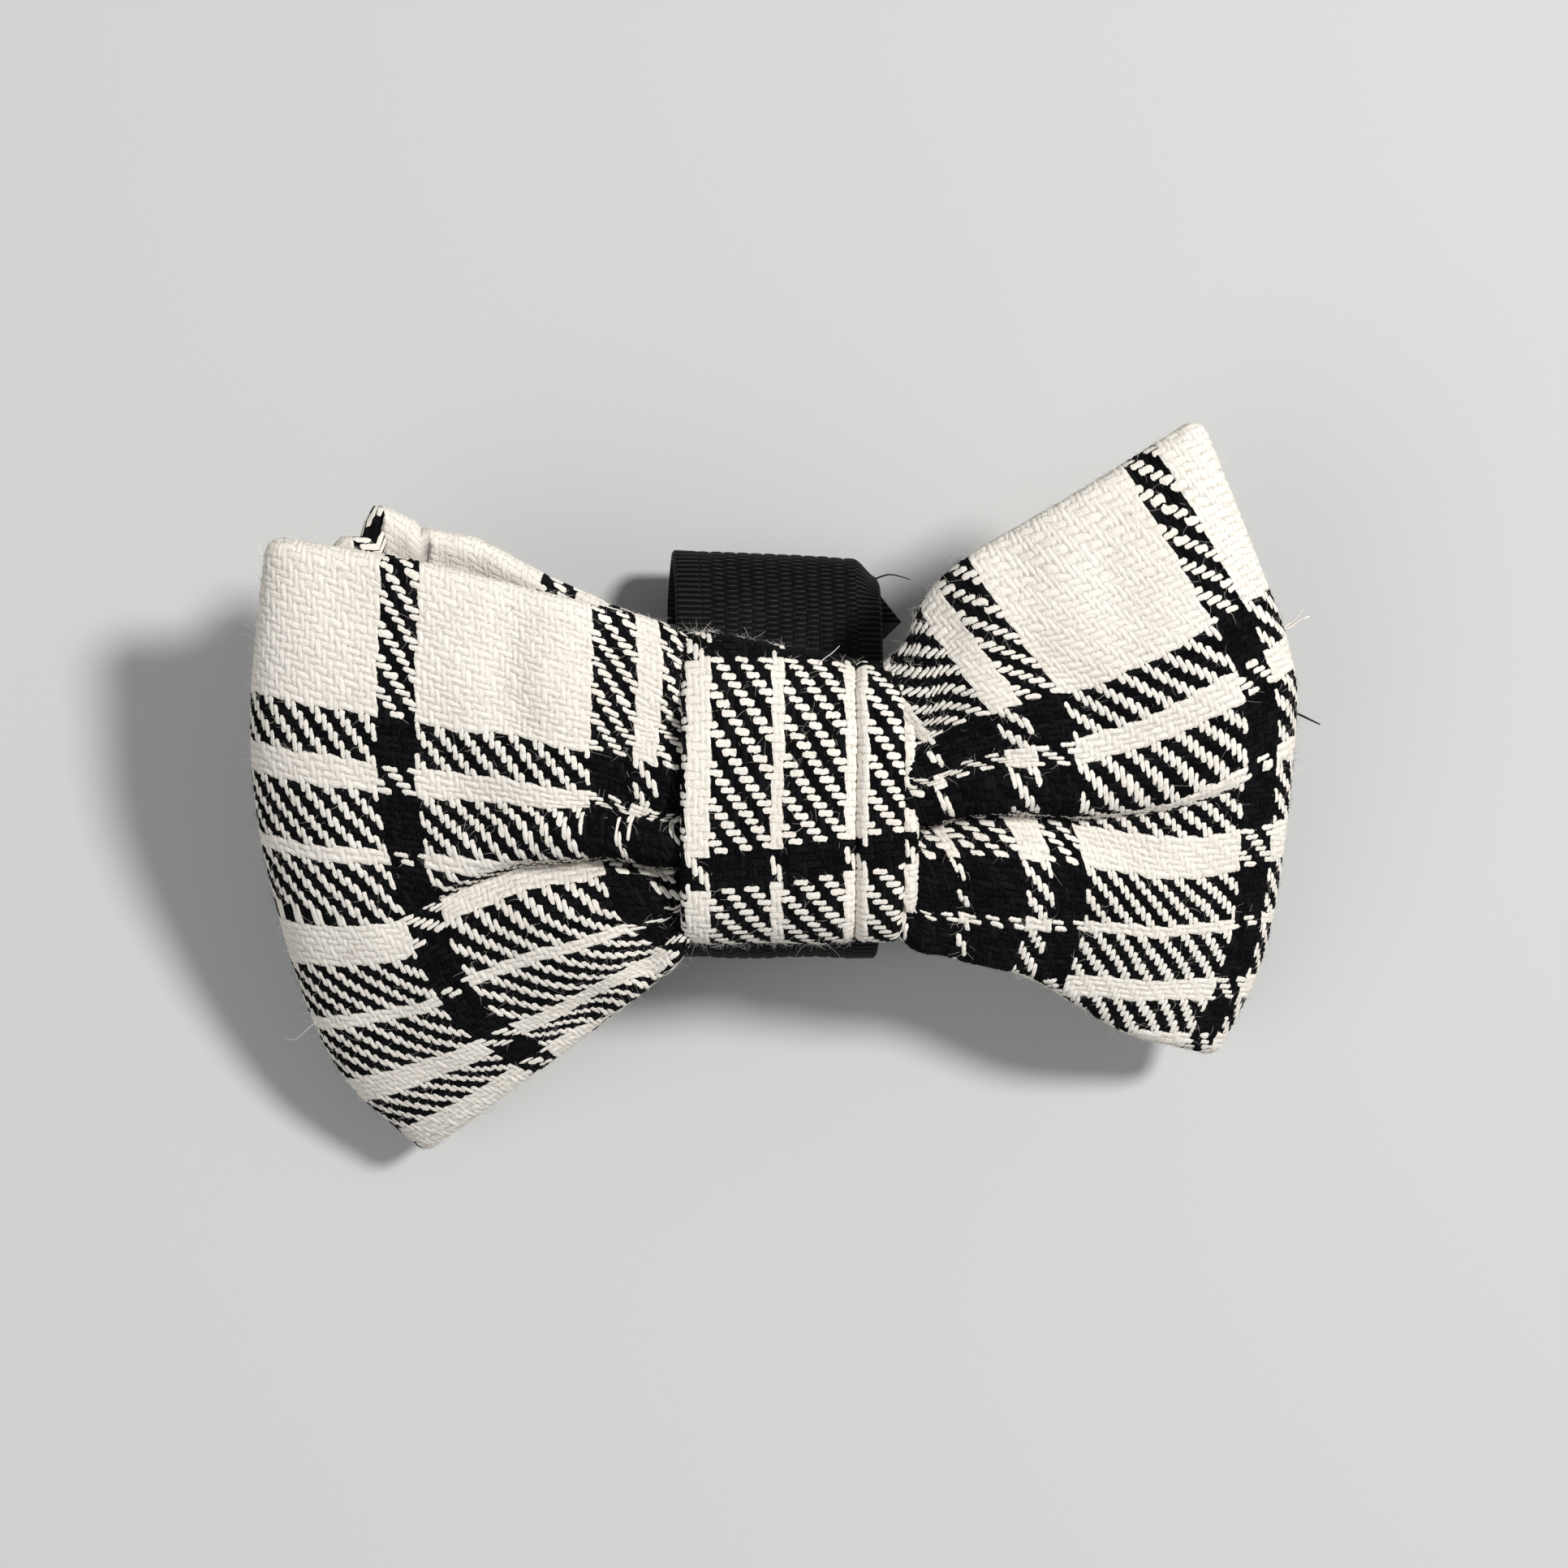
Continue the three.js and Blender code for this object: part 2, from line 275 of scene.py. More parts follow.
def twill_material(name):
    """Plaid twill, coloured and raised yarn by yarn."""
    material, shader = new_material(name, 0.95, sheen=0.004, specular=0.03)
    u, v = yarn_coordinates(material)
    frayed = noise(combine(u * FRAY_GRAIN, v * FRAY_GRAIN), 1.0, 3.0)
    u = u + (frayed - 0.5) * FRAY
    frayed = noise(combine(u * FRAY_GRAIN, v * FRAY_GRAIN, 8.0), 1.0, 3.0)
    v = v + (frayed - 0.5) * FRAY
    sway = ((v - u + 0.5) * (math.pi / 2)).math("SINE")
    u = u - sway * WARP_SWAY
    v = v - sway * WEFT_SWAY
    i = u.floor()
    j = v.floor()
    warp_on_top = (i - j).wrap(TWILL_REPEAT).math("LESS_THAN", 1.5)
    warp_phase = (v - i + 1.0) * (1 / TWILL_REPEAT)
    weft_phase = (u - j - 2.0) * (1 / TWILL_REPEAT)
    along_warp = warp_phase.math("FRACT") * TWILL_REPEAT - 1.0
    along_weft = weft_phase.math("FRACT") * TWILL_REPEAT - 1.0
    across_warp = u - i - 0.5
    across_weft = v - j - 0.5

    def capsule(across, along, half_width):
        side = (across * (1.0 / half_width)).math("POWER", 2.0)
        end = (along * along).math("POWER", 2.0) * FLOAT_TAPER
        return (side * -1.0 + 1.0 - end).math("MAXIMUM", 0.0).math("SQRT")

    warp_height = capsule(across_warp.math("ABSOLUTE"), along_warp, WARP_HALF_WIDTH)
    weft_height = capsule(across_weft.math("ABSOLUTE"), along_weft, WEFT_HALF_WIDTH)

    def pick(warp_value, weft_value):
        """The value of the yarn on top."""
        return weft_value + (warp_value - weft_value) * warp_on_top

    height = pick(warp_height, weft_height)
    warp_black = is_black(i, WARP_STRIPES)
    weft_black = is_black(j, WEFT_STRIPES)
    top_black = pick(warp_black, weft_black)
    under_black = pick(weft_black, warp_black)

    # Each float has its own shade, and fibres twist along it.
    warp_shade = white_noise(combine(i, warp_phase.floor(), 3.0))
    weft_shade = white_noise(combine(j, weft_phase.floor(), 7.0))
    shade = pick(warp_shade, weft_shade)
    twist_across = pick(across_warp + along_warp * 0.35, across_weft + along_weft * 0.35)
    twist_along = pick(along_warp, along_weft)
    strand = combine(twist_across * 7.0, twist_along * 0.9, pick(i, j) * 0.37)
    fibres = noise(strand, 1.6, 3.0)
    cloud = noise(combine(u * 0.05, v * 0.05), 1.3, 3.0)
    fluff = noise(combine(u * FLUFF_GRAIN, v * FLUFF_GRAIN, 4.0), 1.0, 4.0)

    cream_share = (fibres - 0.5) * 0.7 + shade * 0.2 + (cloud - 0.5) * 0.9
    cream_share = cream_share + (fluff - 0.5) * 1.2 + 0.52
    cream = ramp(cream_share, [(0.0, CREAM_SHADE), (0.75, CREAM)])
    black = ramp(fibres + shade * 0.18, [(0.5, BLACK), (0.85, BLACK_FIBRE)])
    top = mix(top_black, cream, black)

    # Gaps show the yarns beneath: black where either yarn is black, and where both are cream, a darker cream
    # as painted shade. Fluff fills some of them, and white on black stays narrow.
    both_black = under_black.math("MAXIMUM", top_black)
    under = mix(both_black, CREAM_GAP_PAINTED_SHADE, BLACK)
    gap = ramp(height + (fluff - 0.42) * 0.9 - both_black * 0.22, [(0.0, 0.0), (0.3, 1.0)])
    plug(shader.inputs["Base Color"], mix(gap, under, top))
    add_bump(shader, height * 0.75 + fibres * 0.55 + fluff * 1.3, 0.6, 0.12)
    return material


TWILL = twill_material("plaid_twill")

# ---- mesh helpers


def striped(yarn, stripes):
    """1 where the yarn's number falls in a black stripe."""
    colours = np.repeat([black for _, black in stripes], [count for count, _ in stripes])
    return colours[np.mod(np.floor(yarn).astype(int), len(colours))]


def black_on_top(columns, rows):
    """Where the top yarn is black, by the same rule as the material."""
    warp_on_top = np.mod(np.floor(columns) - np.floor(rows), TWILL_REPEAT) < 1.5
    return np.where(warp_on_top, striped(columns, WARP_STRIPES), striped(rows, WEFT_STRIPES))


def box_in_mm(node):
    """The lowest and highest corners of a CAD node."""
    return [np.array(corner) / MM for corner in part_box(node)]


def unit(vectors):
    return vectors / np.linalg.norm(vectors, axis=-1, keepdims=True)


def add_object(name, data):
    added = bpy.data.objects.new(name, data)
    bpy.context.scene.collection.objects.link(added)
    return added


def add_grid(name, points, yarns, close_rows, close_columns, material):
    """A mesh from points[column, row]. yarns has one more column or row where that way is closed."""
    columns, rows = points.shape[:2]
    quad_columns = columns if close_columns else columns - 1
    quad_rows = rows if close_rows else rows - 1
    a, b = np.meshgrid(np.arange(quad_columns), np.arange(quad_rows), indexing="ij")
    a, b = a.ravel(), b.ravel()
    corners = [(a, b), (a + 1, b), (a + 1, b + 1), (a, b + 1)]
    faces = np.stack([(x % columns) * rows + (y % rows) for x, y in corners], axis=1)
    mesh = bpy.data.meshes.new(name)
    mesh.from_pydata(points.reshape(-1, 3).tolist(), [], faces.tolist())
    if yarns is not None:
        layer = mesh.uv_layers.new(name="Yarns")
        flat = np.stack([yarns[x, y] for x, y in corners], axis=1).reshape(-1)
        layer.data.foreach_set("uv", flat.astype(np.float32))
    mesh.shade_smooth()
    mesh.materials.append(material)
    return add_object(name, mesh)


def grid_normals(points, close_rows=False, close_columns=False):
    def step(axis, closed):
        if closed:
            return np.roll(points, -1, axis) - np.roll(points, 1, axis)
        return np.gradient(points, axis=axis)

    normal = np.cross(step(0, close_columns), step(1, close_rows))
    length = np.linalg.norm(normal, axis=-1, keepdims=True)
    return normal / np.maximum(length, 1e-12)


def turned_outwards(normals, column, row):
    """The normals, turned round if the one at this place on the front points backwards."""
    return -normals if normals[column, row, 2] < 0 else normals


def fill_ends(piece, columns, rows):
    """Closes the two open ends of a grid whose rows are closed."""
    work = bmesh.new()
    work.from_mesh(piece.data)
    work.verts.ensure_lookup_table()
    for column in (0, columns - 1):
        ring = [work.verts[column * rows + row] for row in range(rows)]
        work.faces.new(ring if column == 0 else ring[::-1])
    bmesh.ops.recalc_face_normals(work, faces=work.faces)
    work.to_mesh(piece.data)
    work.free()


def even_ring(y, z, count):
    """Even points round a closed outline, their outward directions and distances, and its length."""
    along = np.concatenate([[0], np.cumsum(np.hypot(np.diff(y), np.diff(z)))])
    at = np.linspace(0, along[-1], count, endpoint=False)
    ring = np.stack([np.interp(at, along, y), np.interp(at, along, z)], axis=-1)
    tangent = np.roll(ring, -1, 0) - np.roll(ring, 1, 0)
    outward = unit(np.stack([tangent[:, 1], -tangent[:, 0]], axis=-1))
    return ring, outward, at, along[-1]


def sweep(section, at):
    """A section of (x, depth) carried round a ring: x, distance along the ring and depth."""
    x, along = np.meshgrid(section[:, 0], at, indexing="ij")
    return x, along, np.repeat(section[:, 1][:, None], len(at), axis=1)


def closed_yarns(columns, rows, end_rows):
    """Yarn numbers for a grid closed both ways. end_rows are the rows' numbers after a full turn."""
    rows = np.concatenate([rows, end_rows], axis=1)
    columns = np.concatenate([columns, columns[:, :1]], axis=1)
    yarns = np.stack([columns, rows], axis=-1)
    return np.concatenate([yarns, yarns[:1]], axis=0)


# ---- wings


def arc_curve(points, samples=400):
    """A smooth curve through the points, as a function of the share of its length."""
    knots = np.array(points, float)
    padded = np.vstack([2 * knots[0] - knots[1], knots, 2 * knots[-1] - knots[-2]])
    t = np.linspace(0, 1, samples // (len(knots) - 1), endpoint=False)[:, None]
    spans = []
    for k in range(len(knots) - 1):
        a, b, c, d = padded[k:k + 4]
        spans.append(0.5 * (2 * b + (c - a) * t + (2 * a - 5 * b + 4 * c - d) * t ** 2
                            + (3 * b - a - 3 * c + d) * t ** 3))
    line = np.vstack(spans + [knots[-1:]])
    length = np.concatenate([[0], np.cumsum(np.linalg.norm(np.diff(line, axis=0), axis=1))])
    share = length / length[-1]
    return lambda at: np.stack([np.interp(at, share, line[:, axis]) for axis in range(3)], axis=-1)


# A wing's edges are points in millimetres. inner and outer run between the ends of bottom and top.
# Its tables run from the knot (0) to the outer fold (1): crease and centre_band place the pleat as
# shares of the wing's height, crease_depth and back_rise are in millimetres, and the rest are weft
# numbers, with slack for what curls under. first_warp and warp_pitch run up the outer fold instead,
# and direction is 1 where the warps count up from that fold to the knot.
LEFT = {
    "top": [(-6.9, 11.3, 22), (-8.8, 13.4, 22.6), (-12, 14.9, 23), (-19, 16.6, 23.4),
            (-32.5, 20.3, 24), (-46.3, 23.0, 25)],
    "bottom": [(-6.9, -11.6, 21), (-8.8, -15.6, 20.4), (-12, -18.6, 18), (-20, -25.2, 13),
               (-33.6, -36.0, 5.5)],
    "inner": [(-6.9, 0, 21.7)],
    "outer": [(-42.6, -26.6, 8.5), (-47.4, -10.8, 14), (-48.6, 4.5, 20)],
    "crease": [(0, 0.25), (0.08, 0.27), (0.25, 0.385), (0.45, 0.425), (0.6, 0.405), (0.75, 0.375),
               (0.9, 0.405), (1, 0.435)],
    "crease_depth": [(0, 3.2), (0.12, 4.4), (0.35, 4.0), (0.55, 2.0), (0.72, 0.3), (0.8, 0.0), (1, 0.0)],
    "lip_row": [(0, -19), (0.2, -17.5), (0.42, -14.5), (0.6, -10.5), (0.76, -5), (1, -3.4)],
    "valley_row": -3.4,
    "centre_band": [(0, 0.09), (0.2, 0.10), (0.3, 0.105), (0.45, 0.10), (0.62, 0.075), (1, 0.078)],
    "top_row": [(0, -51), (0.5, -50.5), (1, -48.5)],
    "bottom_row": [(0, 23.5), (0.3, 24.5), (0.45, 26), (0.6, 28.3), (0.8, 32.3), (1, 34.5)],
    "bottom_slack": [(0, 0), (0.2, 0), (0.32, 4.5), (0.5, 5.5), (0.65, 4), (0.8, 1.2), (1, 0)],
    "top_slack": 0,
    "back_rise": [(0, 0), (0.16, 0), (0.25, 0.5), (0.3, 1.0), (0.38, 1.6), (0.47, 2.6), (0.56, 3.6),
                  (0.68, 3.4), (0.69, 2.0), (0.7, 3.7), (0.785, 4.8), (0.8, 1.7), (0.86, 1.3),
                  (0.88, 0), (1, 0)],
    "first_warp": [(0, -1.3), (0.25, -0.1), (0.5, 1.3), (0.75, 2.7), (0.9, 5.0), (1, 7.0)],
    "warp_pitch": 0.585,
    "back_row_shift": 8,
    "back_warp_shift": 8,
    "direction": 1,
}
RIGHT = {
    "top": [(10.8, 10.6, 22), (13.2, 13.2, 22.6), (15.2, 17.6, 23), (19, 21, 23.8),
            (28, 26.6, 25.5), (38.5, 33.6, 27)],
    "bottom": [(10.8, -11.6, 21), (13.2, -14.8, 20), (17, -15.8, 18), (24.5, -18.2, 14.5),
               (29.5, -21.2, 12.5), (34, -23.9, 11), (42.6, -26.4, 8)],
    "inner": [(10.8, 0, 21.7)],
    "outer": [(47.2, -14.6, 12), (48.8, 4.5, 18), (47.9, 12.1, 21), (43.9, 21.6, 24)],
    "crease": [(0, 0.42), (0.25, 0.405), (0.5, 0.38), (0.75, 0.42), (1, 0.47)],
    "crease_depth": [(0, 3.0), (0.12, 3.6), (0.35, 2.8), (0.6, 1.6), (0.85, 0.5), (1, 0.0)],
    "lip_row": [(0, -19), (0.5, -16.5), (0.8, -13), (1, -11)],
    "valley_row": [(0, -4), (0.5, -5), (0.8, -9), (1, -11)],
    "centre_band": [(0, 0.18), (0.5, 0.13), (1, 0.15)],
    "top_row": [(0, -51.5), (0.6, -51.5), (1, -51)],
    "bottom_row": [(0, 16), (0.35, 18.5), (0.5, 21), (0.65, 27), (0.8, 31.5), (1, 33.5)],
    "bottom_slack": 0.0,
    "top_slack": 2.2,
    "back_rise": 0.0,
    "first_warp": [(0, 173.8), (0.15, 174.6), (0.25, 175.0), (0.5, 176.8), (0.75, 178.3), (1, 179.6)],
    "warp_pitch": [(0, 0.52), (0.15, 0.545), (0.35, 0.585), (1, 0.585)],
    "back_row_shift": 0,
    "back_warp_shift": 0,
    "direction": -1,
}

# The cloth tube's thickness, and half the wing's, in millimetres.
PANEL = 2.6
HALF_DEPTH = 5.9
# The folds stand this share of the wing inside its outline, so that the outer faces meet the outline.
END_INSET = 0.035
EDGE_INSET = 0.028
# How thin the wing gets at the knot and at its top and bottom edges.
THINNEST = 0.62
# The pleat's wall and lip, in shares of the wing's height, and the lip's rise as a share of the depth.
PLEAT_WALL = 0.022
LIP_ABOVE = 0.05
LIP_WIDTH = 0.045
LIP_RISE = 0.28
# The gathers beside the knot: how many, how high, and where they fade along the wing.
GATHERS = 3.4
GATHER_HEIGHT = 0.45
GATHER_START = 0.7
GATHER_MIDDLE = 0.05
GATHER_REACH = 0.16
# The weft's number at the bottom of the pleat's slope, and the wefts hidden inside the tube.
SLOPE_ROW = 3
HIDDEN_ROWS = 70
# The fine mesh.
FRONT_COLUMNS = 200
BACK_COLUMNS = 90
FACE_ROWS = 270
FOLD_ROWS = 8
INNER_STRIDE = 6
WARP_SMOOTHING = 20
# The simulated cloth: its grid, its scale from millimetres, its length and its greatest movement.
SETTLE_FRONT = 44
SETTLE_BACK = 34
SETTLE_ROWS = 40
SETTLE_SCALE = 0.1
SETTLE_FRAMES = 24
SETTLE_SMOOTHING = 3
SLACK_LIMIT = 1.4
SETTLE_CLOTH = {
    "quality": 6,
    "mass": 0.2,
    "tension_stiffness": 12,
    "compression_stiffness": 12,
    "shear_stiffness": 6,
    "bending_stiffness": 12,
    "air_damping": 4,
    "vertex_group_mass": "held",
    "pin_stiffness": 1.0,
    "shrink_min": -0.012,
}
# Two distances from the middle of the bow for each wing, which nothing bends by; only the wings' names are
# read.
WING_BENDS = {"left_wing": (-6.5, -13.5), "right_wing": (11.0, 18.0)}


def bend(piece, body):
    """Bakes a wing piece's placement into its mesh, or carries a piece of the knot."""
    if body in WING_BENDS:
        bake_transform(piece)
    else:
        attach(piece, body)


def follow(table, at):
    """Reads a table of (place, value), or one value for every place."""
    return np.interp(at, *np.transpose(table)) if isinstance(table, list) else np.full(at.shape, table)


def wing_sheet(edges, s, v):
    """The middle surface of a wing, stretched between its four edge curves."""
    top, bottom, inner, outer = (edges[edge] for edge in ("top", "bottom", "inner", "outer"))
    inner = arc_curve([bottom[0], *inner, top[0]])
    outer = arc_curve([bottom[-1], *outer, top[-1]])
    top = arc_curve(top)
    bottom = arc_curve(bottom)
    s3, v3 = s[..., None], v[..., None]
    sheet = (1 - v3) * bottom(s) + v3 * top(s) + (1 - s3) * inner(v) + s3 * outer(v)
    corners = ((1 - s3) * (1 - v3) * bottom(0.0) + (1 - s3) * v3 * top(0.0)
               + s3 * (1 - v3) * bottom(1.0) + s3 * v3 * top(1.0))
    return sheet - corners


def fold_path(front_columns, back_columns, length):
    """Shares s along the wing and facing (1 in front, -1 behind) round the outer fold."""
    turn = np.linspace(0, math.pi, 4000)
    s = np.sin(turn) ** (1 / 3)
    facing = np.cos(turn)
    step = np.hypot(np.diff(s) * length, np.diff(facing) * HALF_DEPTH)
    along = np.concatenate([[0], np.cumsum(step)])
    half = np.interp(math.pi / 2, turn, along)
    front = np.linspace(0, half, front_columns, endpoint=False)
    back = np.linspace(half, along[-1], back_columns)
    at = np.concatenate([front, back])
    return np.interp(at, along, s), np.interp(at, along, facing)


def wing_grid(shape, front_columns, back_columns, heights):
    """A grid over a wing: its shares s along it, its facing and its heights v."""
    length = np.linalg.norm(np.array(shape["top"][-1]) - np.array(shape["top"][0]))
    s_path, facing_path = fold_path(front_columns, back_columns, length)
    s, v = np.meshgrid(s_path, heights, indexing="ij")
    return s, np.repeat(facing_path[:, None], len(heights), axis=1), v


def back_rise(shape, s, facing, v):
    """How far the layer behind stands above the one in front, along the top."""
    return follow(shape["back_rise"], s) * smoothstep(-facing, 0.3, 0.8) * smoothstep(v, 0.75, 1.0)


def add_pleat(base, shape, s, facing, v):
    """A steep wall under the upper panel's lip, then a slope that rises to the lower panel."""
    in_front = smoothstep(facing, 0.15, 0.6)
    crease, drop, band = (follow(shape[table], s) for table in ("crease", "crease_depth", "centre_band"))
    below = smoothstep(v, crease - 1.5 * band, crease)
    wall = 1 - smoothstep(v, crease, crease + PLEAT_WALL)
    base[..., 2] -= drop * below * wall * in_front
    lip = np.exp(-((v - crease - LIP_ABOVE) / LIP_WIDTH) ** 2)
    base[..., 2] += LIP_RISE * drop * lip * in_front


def add_gathers(base, s, facing, v):
    """Gathers that fan out from the knot, then the cloth's soft unevenness beyond them."""
    fade = np.exp(-((s - GATHER_MIDDLE) / GATHER_REACH) ** 2)
    base[..., 2] += GATHER_HEIGHT * np.cos(2 * math.pi * GATHERS * v + GATHER_START) * fade * facing
    soft = value_noise(s * 3.1 + 5, v * 3.7, SEED) * 0.55 + value_noise(s * 7, v * 8, SEED + 1) * 0.2
    base[..., 2] += soft * smoothstep(s, 0.05, 0.3) * facing


def wing_middle(shape, s, facing, v):
    """The middle of the cloth panel: in front of the wing's sheet, round its fold and behind it."""
    base = wing_sheet(shape, s * (1 - END_INSET), EDGE_INSET + v * (1 - 2 * EDGE_INSET))
    pinch = THINNEST + (1 - THINNEST) * smoothstep(s, 0.0, 0.4)
    crown = THINNEST + (1 - THINNEST) * np.sin(math.pi * v) ** 0.8
    base[..., 2] += facing * (HALF_DEPTH * pinch * crown - PANEL / 2)
    add_pleat(base, shape, s, facing, v)
    base[..., 1] += back_rise(shape, s, facing, v)
    add_gathers(base, s, facing, v)
    if "settled" in shape:
        base += slack_at(shape["settled"], s, facing, v)
    return base


def path_place(s, facing):
    """0 at the knot in front, a half at the outer fold, 1 at the knot behind."""
    return np.where(facing >= 0, s / 2, 1 - s / 2)


def slack_at(settled, s, facing, v):
    """How far the settled cloth moved at each place, between the simulated points."""
    places, heights, moved = settled
    fine_places = path_place(s[:, 0], facing[:, 0])
    fine_heights = v[0]
    along = np.array([[np.interp(fine_places, places, moved[:, row, axis]) for row in range(len(heights))]
                      for axis in range(3)])
    return np.array([[np.interp(fine_heights, heights, along[axis][:, column])
                      for column in range(len(fine_places))] for axis in range(3)]).transpose(1, 2, 0)


def run_cloth(piece, count):
    """Runs the cloth simulation of a piece, and returns where its points end up."""
    cloth = piece.modifiers.new("cloth", "CLOTH")
    for setting, value in SETTLE_CLOTH.items():
        setattr(cloth.settings, setting, value)
    cloth.settings.effector_weights.gravity = 0.05
    cloth.collision_settings.use_collision = False
    cloth.point_cache.frame_end = SETTLE_FRAMES
    for number in range(1, SETTLE_FRAMES + 1):
        bpy.context.scene.frame_set(number)
    result = piece.evaluated_get(bpy.context.evaluated_depsgraph_get()).to_mesh()
    place = np.empty(count * 3)
    result.vertices.foreach_get("co", place)
    bpy.context.scene.frame_set(1)
    return place


def smoothed(moved):
    """Each point halfway to the mean of its four neighbours."""
    padded = np.pad(moved, ((1, 1), (1, 1), (0, 0)), mode="edge")
    return (padded[:-2, 1:-1] + padded[2:, 1:-1] + padded[1:-1, :-2] + padded[1:-1, 2:]) / 8 + moved / 2


def settle_wing(shape):
    """How a coarse wing, held at the knot and cut a little large, moves as it buckles."""
    heights = np.linspace(0, 1, SETTLE_ROWS)
    s, facing, v = wing_grid(shape, SETTLE_FRONT, SETTLE_BACK, heights)
    rest = wing_middle(shape, s, facing, v)
    piece = add_grid("settling", rest * SETTLE_SCALE, None, False, False, TWILL)
    held = piece.vertex_groups.new(name="held")
    grip = 0.3 + 0.7 * (1 - smoothstep(s, 0.04, 0.3))
    for index, weight in enumerate(grip.ravel()):
        held.add([index], float(weight), "REPLACE")
    moved = run_cloth(piece, grip.size).reshape(rest.shape) / SETTLE_SCALE - rest
    bpy.data.objects.remove(piece)
    for _ in range(SETTLE_SMOOTHING):
        moved = smoothed(moved)
    size = np.linalg.norm(moved, axis=-1, keepdims=True)
    moved *= np.minimum(1, SLACK_LIMIT / np.maximum(size, 1e-9))
    return path_place(s[:, 0], facing[:, 0]), heights, moved


def wing_wefts(shape, s, facing, v):
    """Weft yarn numbers on the outer face."""
    s = np.where(facing < 0.15, 1.0, s)
    tables = ("crease", "centre_band", "lip_row", "valley_row", "bottom_row", "top_row")
    crease, band, lip, valley, bottom, top = (follow(shape[table], s) for table in tables)
    upper = lip + (v - crease - PLEAT_WALL) / (1 - crease - PLEAT_WALL) * (top - lip)
    wall = valley + (v - crease) / PLEAT_WALL * (lip - valley)
    centre = valley + (crease - v) / band * (SLOPE_ROW - valley)
    lower = SLOPE_ROW + (crease - band - v) / (crease - band) * (bottom - SLOPE_ROW)
    rows = np.where(v > crease + PLEAT_WALL, upper, wall)
    rows = np.where(v < crease, centre, rows)
    rows = np.where(v < crease - band, lower, rows)
    rows += follow(shape["bottom_slack"], s) * (1 - smoothstep(v, 0.0, 0.1))
    rows += shape["top_slack"] * smoothstep(v, 0.85, 1.0)
    return rows + shape["back_row_shift"] * smoothstep(-facing, 0.05, 0.3)


def wing_warps(shape, outer, s, facing, v):
    """Warp yarn numbers on the outer face, counted from the outer fold along the cloth."""
    level = outer.copy()
    level[..., 1] -= back_rise(shape, s, facing, v)
    step = np.linalg.norm(np.diff(level, axis=0), axis=-1)
    kernel = np.hanning(2 * WARP_SMOOTHING + 1)
    kernel /= kernel.sum()
    padded = np.pad(step, ((0, 0), (WARP_SMOOTHING, WARP_SMOOTHING)), mode="edge")
    step = np.apply_along_axis(lambda row: np.convolve(row, kernel, mode="valid"), 1, padded)
    along = np.vstack([np.zeros((1, FACE_ROWS)), np.cumsum(step, axis=0)])
    along -= along[FRONT_COLUMNS]
    warp = follow(shape["first_warp"], v) - shape["direction"] * along / follow(shape["warp_pitch"], v)
    return warp + shape["back_warp_shift"] * smoothstep(-facing, 0.2, 0.6)


def edge_fold(middle, normal, index, inward, angles):
    """The tube's rounded edge past a row, away from the row beside it."""
    direction = unit(middle[:, index] - middle[:, index + inward])
    offsets = [normal[:, index] * math.cos(angle) + direction * math.sin(angle) for angle in angles]
    return np.stack([middle[:, index] + offset * (PANEL / 2) for offset in offsets], axis=1)


def tube_yarns(warp, weft, v, inner_rows):
    """Yarn numbers round the tube: bottom fold, outer face, top fold and inner side."""
    fold_step = (PANEL / 2) * math.pi / (FOLD_ROWS + 1) / WEFT_PITCH
    top = weft[:, -1:] - fold_step * np.arange(1, FOLD_ROWS + 1)
    bottom = weft[:, :1] + fold_step * np.arange(FOLD_ROWS, 0, -1)
    hidden = top[:, -1:] - fold_step - (1 - v[inner_rows]) * HIDDEN_ROWS
    rows = np.concatenate([bottom, weft, top, hidden, hidden[:, -1:] - 1], axis=1)
    columns = np.concatenate([
        np.repeat(warp[:, :1], FOLD_ROWS, axis=1), warp, np.repeat(warp[:, -1:], FOLD_ROWS, axis=1),
        warp[:, inner_rows], warp[:, inner_rows[-1:]],
    ], axis=1)
    return columns, rows


def build_wing(name, shape, cad_node):
    """One wing's cloth tube. Also returns its outside, for the fibres that stand on it."""
    heights = np.linspace(0, 1, FACE_ROWS)
    s, facing, v = wing_grid(shape, FRONT_COLUMNS, BACK_COLUMNS, heights)
    middle = wing_middle(shape, s, facing, v)
    normal = turned_outwards(grid_normals(middle), FRONT_COLUMNS // 2, FACE_ROWS // 2)
    outer = middle + normal * (PANEL / 2)
    inner = middle - normal * (PANEL / 2)
    warp, weft = uneven(wing_warps(shape, outer, s, facing, v), wing_wefts(shape, s, facing, v))

    turn = np.linspace(0, math.pi, FOLD_ROWS + 2)[1:-1]
    top_fold = edge_fold(middle, normal, FACE_ROWS - 1, -1, turn)
    bottom_fold = edge_fold(middle, normal, 0, 1, turn[::-1])
    inner_rows = np.arange(FACE_ROWS - 1, -1, -INNER_STRIDE)
    points = np.concatenate([bottom_fold, outer, top_fold, inner[:, inner_rows]], axis=1)
    columns, rows = tube_yarns(warp, weft, heights, inner_rows)

    surface = grid_normals(points, close_rows=True)
    surface = turned_outwards(surface, FRONT_COLUMNS // 2, FOLD_ROWS + FACE_ROWS // 2)
    relief = twill_height(columns[:, :-1], rows[:, :-1])
    points = points + surface * (relief * FLOAT_HEIGHT)[..., None]
    yarns = np.stack([columns, rows], axis=-1)
    piece = add_grid(name, points * MM, yarns, True, False, TWILL)
    fill_ends(piece, *points.shape[:2])
    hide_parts(cad_node)
    outside = slice(0, FACE_ROWS + 2 * FOLD_ROWS)
    dark = black_on_top(columns[:, outside], rows[:, outside])
    return piece, (points[:, outside], surface[:, outside], dark)


